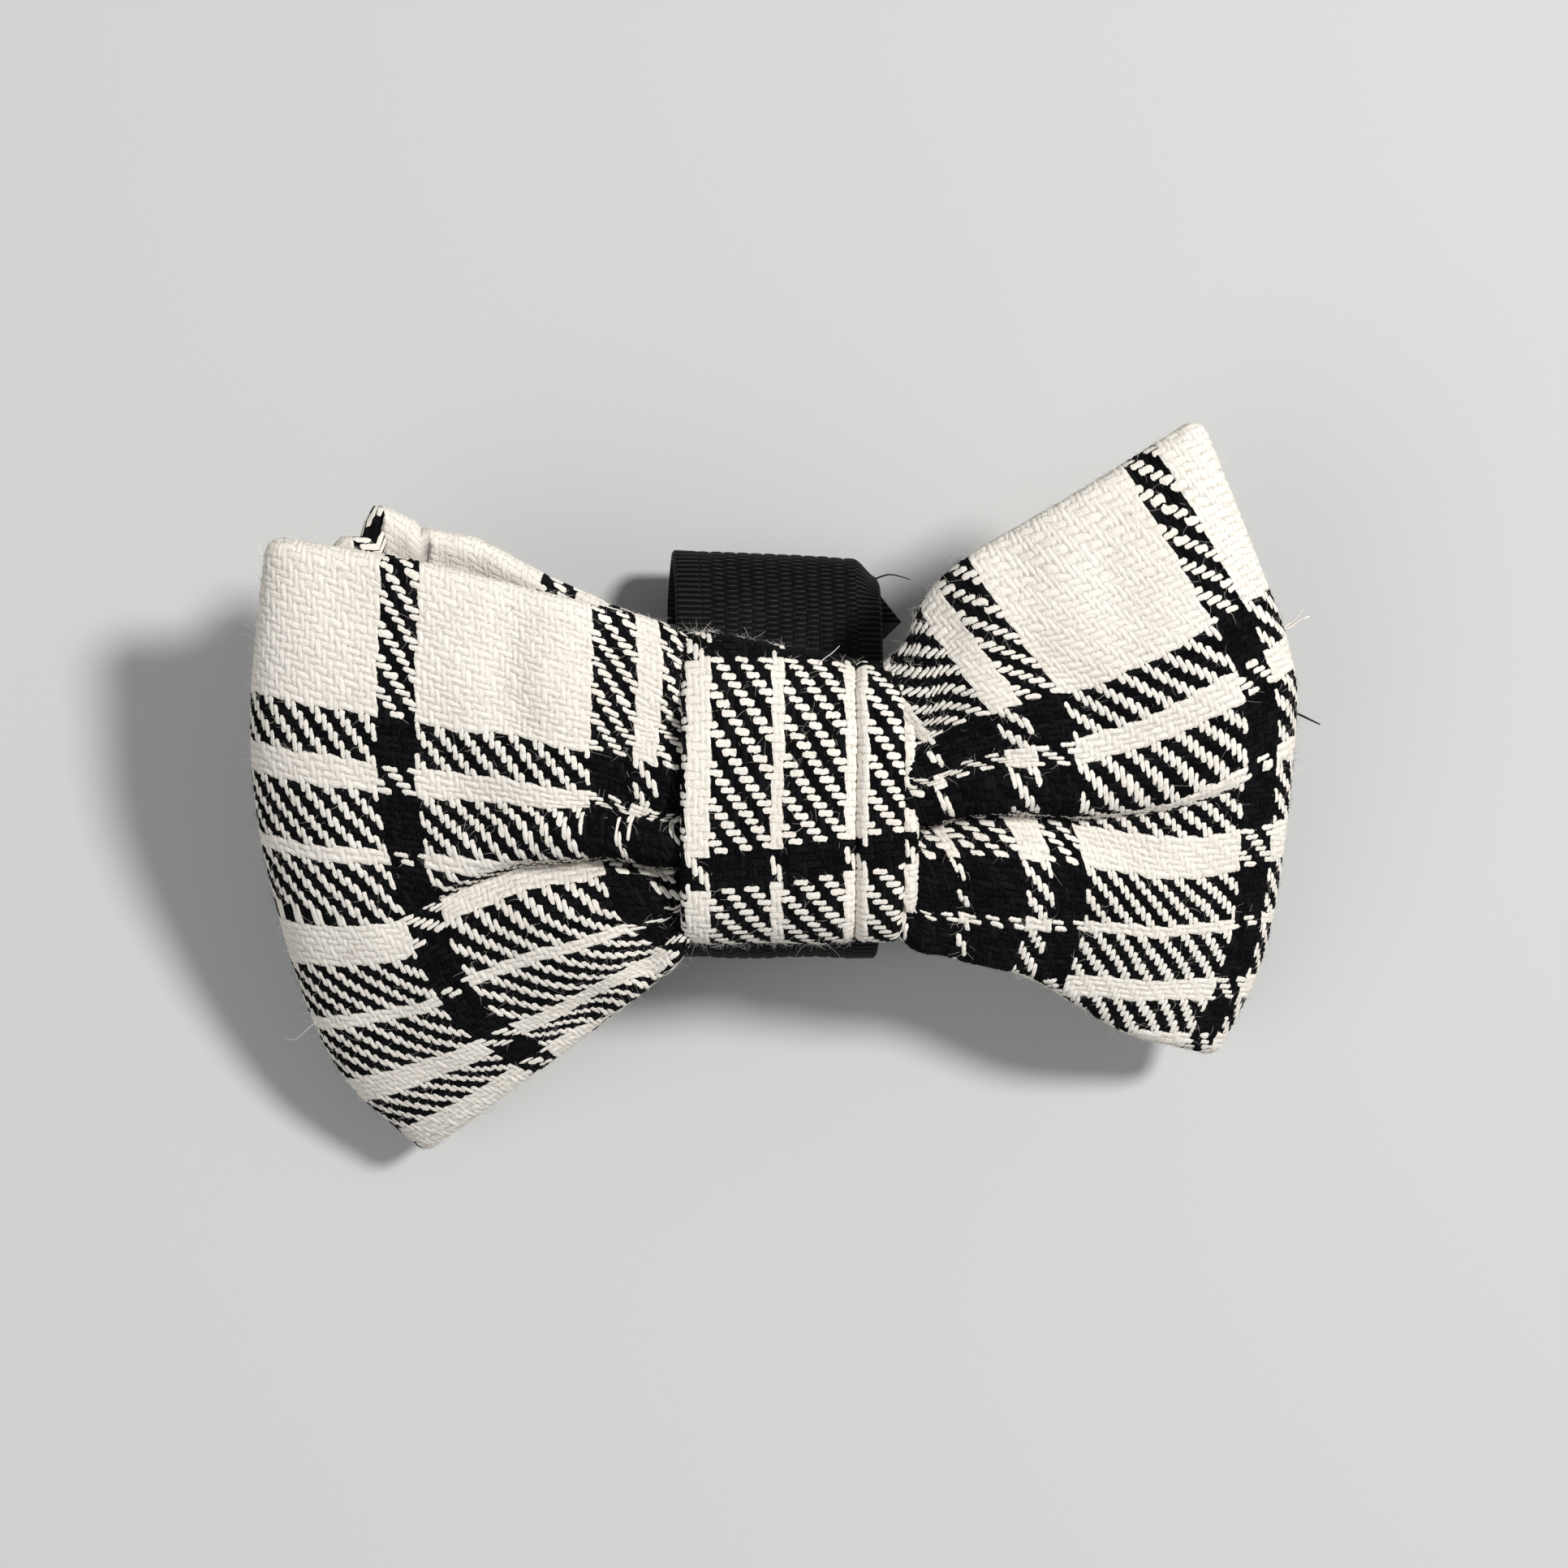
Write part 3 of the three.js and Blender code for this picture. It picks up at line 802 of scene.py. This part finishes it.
def mottle(shader, grain, detail, low, high):
    """Colours a shader by a fine noise from low to high, and returns the noise."""
    place = shader.id_data.nodes.new("ShaderNodeTexCoord")
    cloud = noise(Wire(place.outputs["Object"]), grain, detail)
    plug(shader.inputs["Base Color"], ramp(cloud, [(0.3, low), (0.7, high)]))
    return cloud


def interlining_material():
    material, shader = new_material("interlining_felt", 0.95)
    fibres = mottle(shader, 2500.0, 4.0, (0.60, 0.58, 0.54), (0.82, 0.80, 0.76))
    add_bump(shader, fibres, 1.0, 0.1)
    return material


INTERLINING = interlining_material()
# The felt's grid, the share of the wing's height that it stays inside, and half its thickness.
FELT_FRONT = 50
FELT_BACK = 40
FELT_ROWS = 60
FELT_INSET = 0.03
FELT_HALF = 0.4


def build_interlining(name, shape, cad_node, body):
    """The felt inside a wing's cloth tube, round the same fold."""
    heights = np.linspace(FELT_INSET, 1 - FELT_INSET, FELT_ROWS)
    s, facing, v = wing_grid(shape, FELT_FRONT, FELT_BACK, heights)
    middle = wing_middle(shape, s, facing, v)
    offset = grid_normals(middle) * FELT_HALF
    points = np.concatenate([middle + offset, (middle - offset)[:, ::-1]], axis=1)
    piece = add_grid(name, points * MM, None, True, False, INTERLINING)
    fill_ends(piece, *points.shape[:2])
    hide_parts(cad_node)
    bend(piece, body)


LEFT["settled"] = settle_wing(LEFT)
RIGHT["settled"] = settle_wing(RIGHT)
outsides = {}
for side, shape in (("left_wing", LEFT), ("right_wing", RIGHT)):
    build_interlining(side + "_felt", shape, side + "_interlining", side)
    wing, outsides[side] = build_wing(side + "_cloth", shape, side + "_cover")
    bend(wing, side)

# ---- knot

KNOT_WARP_PITCH = 0.56
KNOT_WEFT_PITCH_ABOVE = 0.88
KNOT_WEFT_PITCH_BELOW = 0.8
# The weft's number at the middle of the knot's front, and how far the wefts tilt and close up.
KNOT_MIDDLE_WEFT = 44.6
KNOT_TILT = 2.1
KNOT_SQUEEZE = 3.2
# The knot's left edge, its width, and how far its top slopes down to the right.
KNOT_LEFT = -8.35
KNOT_WIDTH = 16
KNOT_SLOPE = 2.9
# The power of its rounded outline, and its mesh: points round it, millimetres across, points in a fold.
KNOT_ROUNDNESS = 2.3
KNOT_AROUND = 330
KNOT_STEP = 0.12
KNOT_FOLD = 7
KNOT_HIDDEN_STRIDE = 8


def waist_ring(shrink):
    """The knot's outline round the waist, in (y, z), as even_ring gives it."""
    low, high = box_in_mm("knot_wrap")
    half = (high - low) / 2 - shrink
    turn = np.linspace(0, 2 * math.pi, 4001)
    power = 2 / KNOT_ROUNDNESS
    y = half[1] * np.sign(np.cos(turn)) * np.abs(np.cos(turn)) ** power
    z = half[2] * np.sign(np.sin(turn)) * np.abs(np.sin(turn)) ** power
    ring, outward, at, girth = even_ring(y, z, KNOT_AROUND)
    return ring + ((low + high) / 2)[1:], outward, at, girth


def strip_section(x0, x1, thickness, radius):
    """The strip's section as (x, depth): its face, right fold, hidden side and left fold."""
    face_x = np.linspace(x0 + radius, x1 - radius, int((x1 - x0) / KNOT_STEP))
    fold = np.linspace(0, math.pi, KNOT_FOLD + 2)[1:-1]
    sink = np.where(fold < math.pi / 2, 0, thickness - 2 * radius)
    turn_x = radius * np.sin(fold)
    turn_depth = -radius + radius * np.cos(fold) - sink
    section = [(x, 0.0) for x in face_x]
    section += [(x1 - radius + dx, dz) for dx, dz in zip(turn_x, turn_depth)]
    section += [(x, -thickness) for x in face_x[::-KNOT_HIDDEN_STRIDE]]
    section += [(x0 + radius - dx, dz) for dx, dz in zip(turn_x[::-1], turn_depth[::-1])]
    return np.array(section), len(face_x)


def strip_warps(section, first_warp):
    """Warp yarn numbers round the section. The left fold's count back from the face's."""
    across = np.concatenate([[0], np.cumsum(np.linalg.norm(np.diff(section, axis=0), axis=1))])
    girth = across[-1] + np.linalg.norm(section[0] - section[-1])
    on_left = np.arange(len(section)) >= len(section) - KNOT_FOLD
    warps = first_warp + np.where(on_left, across - girth, across) / KNOT_WARP_PITCH
    return np.repeat(warps[:, None], KNOT_AROUND, axis=1)


def strip_wefts(x, distance, girth):
    """Weft yarn numbers. They tilt and close up to the right, as the strip was pulled tight."""
    below_middle = distance - girth / 4
    to_right = (x - KNOT_LEFT) / KNOT_WIDTH
    pitch = np.where(below_middle < 0, KNOT_WEFT_PITCH_ABOVE, KNOT_WEFT_PITCH_BELOW)
    tilt = to_right * (KNOT_TILT + 0.1 * below_middle)
    squeezed = KNOT_SQUEEZE * np.clip(to_right, 0, 1) * smoothstep(-below_middle, 2.0, 13.0)
    return KNOT_MIDDLE_WEFT + below_middle / pitch + tilt + squeezed


def knot_ring(name, x0, x1, shrink, thickness, edge_radius, first_warp, cad_node):
    """A strip with folded edges, wrapped round the waist. Also returns its outside."""
    ring, outward, at, girth = waist_ring(shrink)
    section, face_count = strip_section(x0, x1, thickness, min(thickness / 2, edge_radius))
    px, along, depth = sweep(section, at)
    edge_sag = 0.35 * (np.abs(2 * ((px - x0) / (x1 - x0)) - 1) ** 6)
    depth = depth - edge_sag + 0.12 * value_noise(px * 0.2, along * 0.12, SEED + 8)
    points = np.empty(px.shape + (3,))
    points[..., 0] = px + 0.16 * value_noise(along * 0.15, px * 0.05 + 3, SEED + 9)
    points[..., 1:] = ring + outward * depth[..., None]
    to_right = np.clip((px + 6) / KNOT_WIDTH, 0, 1)
    points[..., 1] -= KNOT_SLOPE * to_right * smoothstep(points[..., 1], 2.0, 13.0)

    columns = strip_warps(section, first_warp)
    rows = strip_wefts(px, along, girth)
    columns = columns + 0.15 * value_noise(rows * 0.25, columns * 0.8, SEED + 10)
    rows = rows + 0.12 * value_noise(columns * 0.25, rows * 0.8, SEED + 11)
    surface = grid_normals(points, close_rows=True, close_columns=True)
    surface = turned_outwards(surface, face_count // 2, KNOT_AROUND // 4)
    points = points + surface * (twill_height(columns, rows) * FLOAT_HEIGHT)[..., None]
    yarns = closed_yarns(columns, rows, strip_wefts(px[:, :1], girth, girth))
    piece = add_grid(name, points * MM, yarns, True, True, TWILL)
    if cad_node:
        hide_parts(cad_node)
    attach(piece, "knot")
    outside = slice(0, face_count + KNOT_FOLD)
    return piece, (points[outside], surface[outside], black_on_top(columns[outside], rows[outside]))


knot_wrap, knot_outside = knot_ring(
    "knot_wrap_cloth", KNOT_LEFT, 7.5, 0.0, 1.3, 0.5, 69.2, "knot_wrap")
knot_under, _ = knot_ring("knot_underlap_cloth", 7.62, 12.0, 0.1, 2.4, 0.9, 101.6, "knot_underlap")
side_fold, _ = knot_ring("knot_side_fold", 11.2, 13.3, 2.1, 1.6, 0.8, 3.0, None)

# ---- loose fibres

FUZZ_PER_WING = 9800
FUZZ_ON_KNOT = 3600
FUZZ_STEPS = 4
# The share of fibres that are long, how much longer they are, and how much shorter black ones are.
LONG_SHARE = 0.03
LONG_FIBRE = 1.8
BLACK_SHORTER = 0.7
THREAD_STEPS = 14
THREAD_SIDES = 6
# A fibre's or a thread's tip is this share of its root's width.
TIP_WIDTH = 0.45


def darker(colour, share):
    return tuple(share * c for c in colour)


def fibre_material(name, colour):
    material, shader = new_material(name, 0.9, sheen=0.1)
    mottle(shader, 900.0, 2.0, darker(colour, 0.7), colour)
    return material


CREAM_FIBRE = fibre_material("cream_fibre", (0.86, 0.81, 0.73))
DARK_FIBRE = fibre_material("dark_fibre", (0.02, 0.02, 0.022))


def tube_faces(count, steps, sides):
    """Walls as quads, and both ends closed by one face each, for points[line, step, side]."""
    base = np.arange(count)[:, None, None] * steps * sides
    step = np.arange(steps - 1)[None, :, None] * sides
    around = np.arange(sides)[None, None, :]
    beside = (around + 1) % sides
    quads = np.stack([base + step + around, base + step + beside,
                      base + step + sides + beside, base + step + sides + around], axis=-1)
    ends = np.arange(count)[:, None] * steps * sides
    start_caps = ends + np.arange(sides)[::-1][None]
    end_caps = ends + (steps - 1) * sides + np.arange(sides)[None]
    return quads.reshape(-1, 4).tolist() + start_caps.tolist() + end_caps.tolist()


def add_tubes(name, lines, radii, dark, sides):
    """Thin tubes along lines[line, step], all in one mesh."""
    count, steps = lines.shape[:2]
    tangent = np.gradient(lines, axis=1)
    tangent /= np.maximum(np.linalg.norm(tangent, axis=-1, keepdims=True), 1e-9)
    helper = np.where(np.abs(tangent[..., 2:]) > 0.9, [[[1.0, 0, 0]]], [[[0, 0, 1.0]]])
    side = unit(np.cross(tangent, helper))
    up = np.cross(side, tangent)
    angles = 2 * math.pi * np.arange(sides) / sides
    ring = (side[:, :, None] * np.cos(angles)[:, None] + up[:, :, None] * np.sin(angles)[:, None])
    taper = np.linspace(1, TIP_WIDTH, steps)[None, :, None, None]
    points = lines[:, :, None] + ring * radii[:, None, None, None] * taper
    shade = np.concatenate([np.repeat(dark, (steps - 1) * sides), dark, dark]).astype(np.int32)
    mesh = bpy.data.meshes.new(name)
    mesh.from_pydata((points * MM).reshape(-1, 3).tolist(), [], tube_faces(count, steps, sides))
    mesh.materials.append(CREAM_FIBRE)
    mesh.materials.append(DARK_FIBRE)
    mesh.polygons.foreach_set("material_index", shade)
    mesh.shade_smooth()
    piece = add_object(name, mesh)
    return piece


def add_fuzz(name, points, normals, dark_map, count, body, seed):
    """Fibres that stand off the cloth, mostly short, and thickest on its edges."""
    rng = np.random.default_rng(seed)
    weight = 0.25 + 1.6 * np.clip(1 - np.abs(normals[..., 2]), 0, 1) ** 2
    weight = np.where(normals[..., 2] < -0.3, 0.1, weight).ravel()
    chosen = rng.choice(weight.size, count, p=weight / weight.sum())
    pick = np.unravel_index(chosen, points.shape[:2])
    normal = normals[pick]
    dark = dark_map[pick].astype(int)
    length = rng.gamma(3.0, 0.22, count) + 0.25
    length = np.where(rng.random(count) < LONG_SHARE, length * LONG_FIBRE, length)
    length = np.where(dark > 0, length * BLACK_SHORTER, length)
    heading = rng.normal(size=(count, 3))
    heading = unit(heading - (heading * normal).sum(-1, keepdims=True) * normal)
    lift = rng.uniform(0.1, 0.75, (count, 1))
    curl = rng.normal(size=(count, 3)) * 0.5
    lines = np.empty((count, FUZZ_STEPS, 3))
    position = points[pick] - normal * 0.08
    direction = heading + normal * lift
    for k in range(FUZZ_STEPS):
        lines[:, k] = position
        direction = unit(direction)
        position = position + direction * (length / (FUZZ_STEPS - 1))[:, None]
        direction = direction + curl * 0.55 - normal * 0.12
    radii = rng.uniform(0.009, 0.017, count)
    bend(add_tubes(name, lines, radii, dark, 3), body)


def add_loose_threads(body, threads):
    """threads are (radius, is black, points along it)."""
    lines = [arc_curve(points)(np.linspace(0, 1, THREAD_STEPS)) for _, _, points in threads]
    radii = np.array([radius for radius, _, _ in threads])
    dark = np.array([black for _, black, _ in threads])
    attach(add_tubes(body + "_loose_threads", np.array(lines), radii, dark, THREAD_SIDES), body)


for seed, (body, outside) in enumerate(outsides.items(), SEED + 20):
    add_fuzz(body + "_fuzz", *outside, FUZZ_PER_WING, body, seed)
add_fuzz("knot_fuzz", *knot_outside, FUZZ_ON_KNOT, "knot", SEED + 22)
add_loose_threads("right_wing", [
    (0.2, 0, [(45.6, 14.6, 21), (47.6, 14.4, 21.6), (48.9, 15.2, 21.8), (49.9, 15.6, 21.6)]),
    (0.15, 0, [(46.6, 14.2, 21), (48.2, 15.0, 21.4), (49.4, 16.3, 21.3)]),
    (0.16, 1, [(47.4, 7.2, 19), (49.2, 6.6, 19.2), (50.3, 6.1, 19.1), (51.4, 5.6, 18.8)]),
    (0.06, 0, [(41.2, -24.2, 9), (41.6, -25.6, 9.2), (42.3, -26.2, 9.1)]),
])
add_loose_threads("left_wing", [
    (0.035, 0, [(-42.0, -21.8, 12), (-44.4, -23.2, 12.2), (-46.0, -24.6, 12), (-47.0, -24.4, 11.8)]),
    (0.045, 0, [(-46.6, 20.6, 25), (-47.3, 21.7, 25.2), (-47.1, 22.5, 25)]),
])
add_loose_threads("loop", [
    (0.10, 1, [(9.8, 20.0, 8.0), (11.2, 20.4, 8.4), (12.4, 20.2, 8.5), (13.3, 19.9, 8.4)]),
])
add_loose_threads("knot", [
    (0.06, 0, [(4.0, 11.0, 24.6), (4.8, 11.6, 25.2), (5.5, 12.1, 25.4), (6.1, 12.7, 25.2)]),
])

# ---- elastic

STRAP = 1.2
STRAP_WIDTH = 20.0
STRAP_AROUND = 640
STRAP_FACE = 130
STRAP_HIDDEN_STRIDE = 5
# The flat underside reaches this far to each side of the middle.
FLAT_REACH = 12.0
# The selvedge's rounding: how far its face stops short of the edge, and the depths of its two points.
SELVEDGE_INSET = 0.25
SELVEDGE_DEPTHS = (-0.3, -0.9)
RIB_PITCH = 0.55
RIB_HEIGHT = 0.13
SELVEDGE = 2.4
BRICK = 1.3
# The lap's left edge, where its cut corner starts, how far it reaches there and at the tip, and its depth.
LAP_LEFT = -9.2
LAP_CORNER_Y = 15.6
LAP_CORNER_X = 9.6
LAP_TIP = 2.8
LAP_HALF = 0.4
LAP_BELOW = 2.0
LAP_ACROSS = 90
# Near-black colours by rib height: painted shade in the grooves, painted highlight on the rib tops.
ELASTIC_RIB_PAINTED_LIGHT = [(0.3, (0.0006, 0.0006, 0.0007)), (0.65, (0.004, 0.004, 0.004)), (0.9, (0.03, 0.03, 0.031))]


def elastic_material():
    """Black elastic: ribs across it, staggered like bricks between plain selvedges, their tops coloured
    lighter as painted highlight and their grooves darker as painted shade.
    """
    material, shader = new_material("woven_elastic", 0.5, sheen=0.01)
    x, y = yarn_coordinates(material)
    wander = noise(combine(x * 0.9, y * 1.7), 1.0, 2.0) - 0.5
    x = x + wander * 0.5
    bricks = (x - SELVEDGE) * (1 / BRICK)
    from_middle = (x - STRAP_WIDTH / 2).math("ABSOLUTE")
    inside = from_middle.math("LESS_THAN", STRAP_WIDTH / 2 - SELVEDGE)
    stagger = bricks.floor().wrap(2.0) * inside * math.pi
    rib = ((y + wander * 0.12) * (2 * math.pi / RIB_PITCH) + stagger).math("COSINE")
    across = (bricks.wrap(1.0) * 2.0 - 1.0).math("ABSOLUTE").math("POWER", 4.0) * inside
    rib = (rib * 0.5 + 0.5) * (across * -1.0 + 1.0)
    weave = noise(combine(x * 3.0, y * 6.0), 1.0, 3.0)
    height = rib * 0.7 + weave * 0.3
    # The ribs' height sets the colour: painted highlight on their tops, painted shade in the grooves, with
    # random weave noise.
    plug(shader.inputs["Base Color"], ramp(height, ELASTIC_RIB_PAINTED_LIGHT))
    add_bump(shader, height, 0.7, 0.2)
    return material


ELASTIC = elastic_material()


def rib_height(x, along):
    """The same ribs, as a height from 0 to 1."""
    inside = smoothstep(np.minimum(x, STRAP_WIDTH - x), SELVEDGE - 0.1, SELVEDGE + 0.1)
    brick = np.floor((x - SELVEDGE) / BRICK)
    across = np.mod((x - SELVEDGE) / BRICK, 1)
    stagger = np.mod(brick, 2) * 0.5 * inside
    rib = 0.5 + 0.5 * np.cos(2 * math.pi * (along / RIB_PITCH + stagger))
    return rib * (1 - inside * (np.abs(2 * across - 1) ** 4))


def loop_ring():
    """The loop's outline in (y, z), from the middle of its flat underside round over its arch."""
    low, high = box_in_mm("elastic_loop")
    half_length = (high[1] - low[1]) / 2
    half_height = (high[2] - low[2]) / 2
    quarter = np.linspace(0, math.pi / 2, 200)
    end_y = (half_length - FLAT_REACH) * np.sin(quarter)
    end_z = -half_height * np.cos(quarter)
    arch = np.linspace(0, math.pi, 800)[1:-1]
    y = np.concatenate([[0], FLAT_REACH + end_y, half_length * np.cos(arch),
                        (-FLAT_REACH - end_y)[::-1], [0]])
    z = np.concatenate([[-half_height], end_z, half_height * np.sin(arch), end_z[::-1], [-half_height]])
    ring, outward, at, _ = even_ring(y, z, STRAP_AROUND)
    return ring[:, 0] + (low[1] + high[1]) / 2, ring[:, 1] + half_height, outward, at


def strap_section():
    """The strap's section as (x, depth): its face, right selvedge, inner face and left selvedge."""
    face = np.linspace(SELVEDGE_INSET, STRAP_WIDTH - SELVEDGE_INSET, STRAP_FACE)
    section = [(x, 0.0) for x in face]
    section += [(STRAP_WIDTH, depth) for depth in SELVEDGE_DEPTHS]
    section += [(x, -STRAP) for x in face[::-STRAP_HIDDEN_STRIDE]]
    section += [(0, depth) for depth in SELVEDGE_DEPTHS[::-1]]
    return np.array(section)


def build_loop():
    """The elastic loop, which leans to the right at its top and is turned under at one corner."""
    y, z, outward, at = loop_ring()
    px, along, depth = sweep(strap_section(), at)
    ribbed = depth > -0.01
    depth = depth + np.where(ribbed, RIB_HEIGHT * rib_height(px, along) - 0.1, 0)
    depth = depth + 0.12 * value_noise(px * 0.35, along * 0.3, SEED + 30)
    lean = 0.7 * (z - z.mean()) / (z.max() - z.mean())
    turned = smoothstep(px, STRAP_WIDTH - SELVEDGE, STRAP_WIDTH)
    turned = turned * smoothstep(y, y.max() - 5, y.max())
    slant = 0.9 * (1 - px / STRAP_WIDTH) * smoothstep(y, 8.0, y.max())
    points = np.empty(px.shape + (3,))
    points[..., 0] = px - STRAP_WIDTH / 2 + lean + 0.1 * value_noise(along * 0.2, px * 0.1, SEED + 31)
    points[..., 1] = y + outward[:, 0] * depth - 1.7 * turned + slant
    points[..., 2] = np.maximum(z + outward[:, 1] * depth, 0.01)
    yarns = closed_yarns(px, along, along[:, :1] + at[1] * STRAP_AROUND)
    piece = add_grid("elastic_strap", points * MM, yarns, True, True, ELASTIC)
    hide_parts("elastic_loop")
    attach(piece, "loop")


def build_lap():
    """The strap's folded end, under the top of the loop, with a cut corner that sticks out."""
    low, high = box_in_mm("elastic_lap_end")
    loop_low, loop_high = box_in_mm("elastic_loop")
    below = np.linspace(low[1], LAP_CORNER_Y, 80)
    above = np.linspace(LAP_CORNER_Y + 0.06, high[1], 40)
    y_line = np.concatenate([below, above])
    middle = (loop_low[1] + loop_high[1]) / 2
    share = (y_line - middle) / ((loop_high[1] - loop_low[1]) / 2 - LAP_BELOW)
    height = (loop_high[2] - loop_low[2]) / 2
    z_line = height + (height - LAP_BELOW) * np.sqrt(np.clip(1 - share ** 2, 0, 1))
    reach = np.where(y_line > LAP_CORNER_Y, (high[1] - y_line) / (high[1] - LAP_CORNER_Y), 0)
    right = LAP_CORNER_X + LAP_TIP * reach
    across, y = np.meshgrid(np.linspace(0, 1, LAP_ACROSS), y_line, indexing="ij")
    x = LAP_LEFT + (right - LAP_LEFT) * across
    z = np.repeat(z_line[None, :], LAP_ACROSS, axis=0)
    strap_x = x + STRAP_WIDTH / 2
    top = np.stack([x, y, z + LAP_HALF + 0.12 * rib_height(strap_x, y)], axis=-1)
    bottom = np.stack([x, y, z - LAP_HALF], axis=-1)[:, ::-1]
    points = np.concatenate([top, bottom], axis=1)
    yarns = np.stack([strap_x, y], axis=-1)
    yarns = np.concatenate([yarns, yarns[:, ::-1], yarns[:, :1]], axis=1)
    piece = add_grid("elastic_lap", points * MM, yarns, True, False, ELASTIC)
    fill_ends(piece, *points.shape[:2])
    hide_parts("elastic_lap_end")
    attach(piece, "loop")


build_loop()
build_lap()

# ---- pieces that stay as the CAD has them


def plain_cloth_material(name, colour, roughness, grain):
    material, shader = new_material(name, roughness, sheen=0.05)
    cloud = mottle(shader, grain, 4.0, darker(colour, 0.6), colour)
    add_bump(shader, cloud, 0.6, 0.1)
    return material


WAIST = plain_cloth_material("waist_cloth", (0.70, 0.66, 0.59), 0.95, 2200.0)
CREAM_THREAD = plain_cloth_material("cream_thread", (0.78, 0.74, 0.66), 0.7, 4000.0)
BLACK_THREAD = plain_cloth_material("black_thread", (0.02, 0.02, 0.022), 0.6, 4000.0)
for node, material in (("bow_waist", WAIST), ("gathering_thread", CREAM_THREAD),
                       ("knot_closing_stitches", CREAM_THREAD), ("elastic_bar_tack", BLACK_THREAD)):
    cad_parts[node].data.materials.clear()
    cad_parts[node].data.materials.append(material)

# ---- floor, light and camera

# In metres.
FLOOR_REACH = 3.0
LIGHT_TARGET = (0, 0, 0.01)
# The camera looks straight down, and sees this width at this height, in millimetres.
VIEW_WIDTH = 145.8113
VIEW_HEIGHT = 22
VIEW_CENTRE_X = 1
LENS = 70
SENSOR = 36


def add_floor():
    mesh = bpy.data.meshes.new("floor")
    reach = FLOOR_REACH
    corners = [(-reach, -reach, 0), (reach, -reach, 0), (reach, reach, 0), (-reach, reach, 0)]
    mesh.from_pydata(corners, [], [(0, 1, 2, 3)])
    material, shader = new_material("floor_paint", 0.85)
    shader.inputs["Base Color"].default_value = (0.55, 0.55, 0.535, 1)
    mesh.materials.append(material)
    add_object("floor", mesh)


def add_area_light(name, place, size, power):
    """A round soft light that faces the bow."""
    data = bpy.data.lights.new(name, "AREA")
    data.shape = "DISK"
    data.size = size
    data.energy = power
    light = add_object(name, data)
    light.location = place
    direction = Vector(np.array(LIGHT_TARGET) - np.array(place))
    light.rotation_euler = direction.to_track_quat("-Z", "Y").to_euler()


def add_world():
    """Faint bluish light from all round."""
    world = bpy.data.worlds.new("world")
    world.use_nodes = True
    background = world.node_tree.nodes["Background"]
    background.inputs["Color"].default_value = (0.9, 0.93, 1.0, 1)
    background.inputs["Strength"].default_value = 0.3
    bpy.context.scene.world = world


def add_camera():
    data = bpy.data.cameras.new("camera")
    data.lens = LENS
    data.sensor_width = SENSOR
    data.clip_start = 0.01
    camera = add_object("camera", data)
    distance = VIEW_WIDTH / SENSOR * LENS
    camera.location = (VIEW_CENTRE_X * MM, 0, (distance + VIEW_HEIGHT) * MM)
    bpy.context.scene.camera = camera


add_floor()
add_area_light("key", (0.60, 0.28, 0.80), 0.18, 11.2)
add_area_light("fill", (-0.35, -0.15, 0.5), 0.5, 0.9)
add_world()
add_camera()
bpy.context.scene.view_settings.view_transform = "Standard"
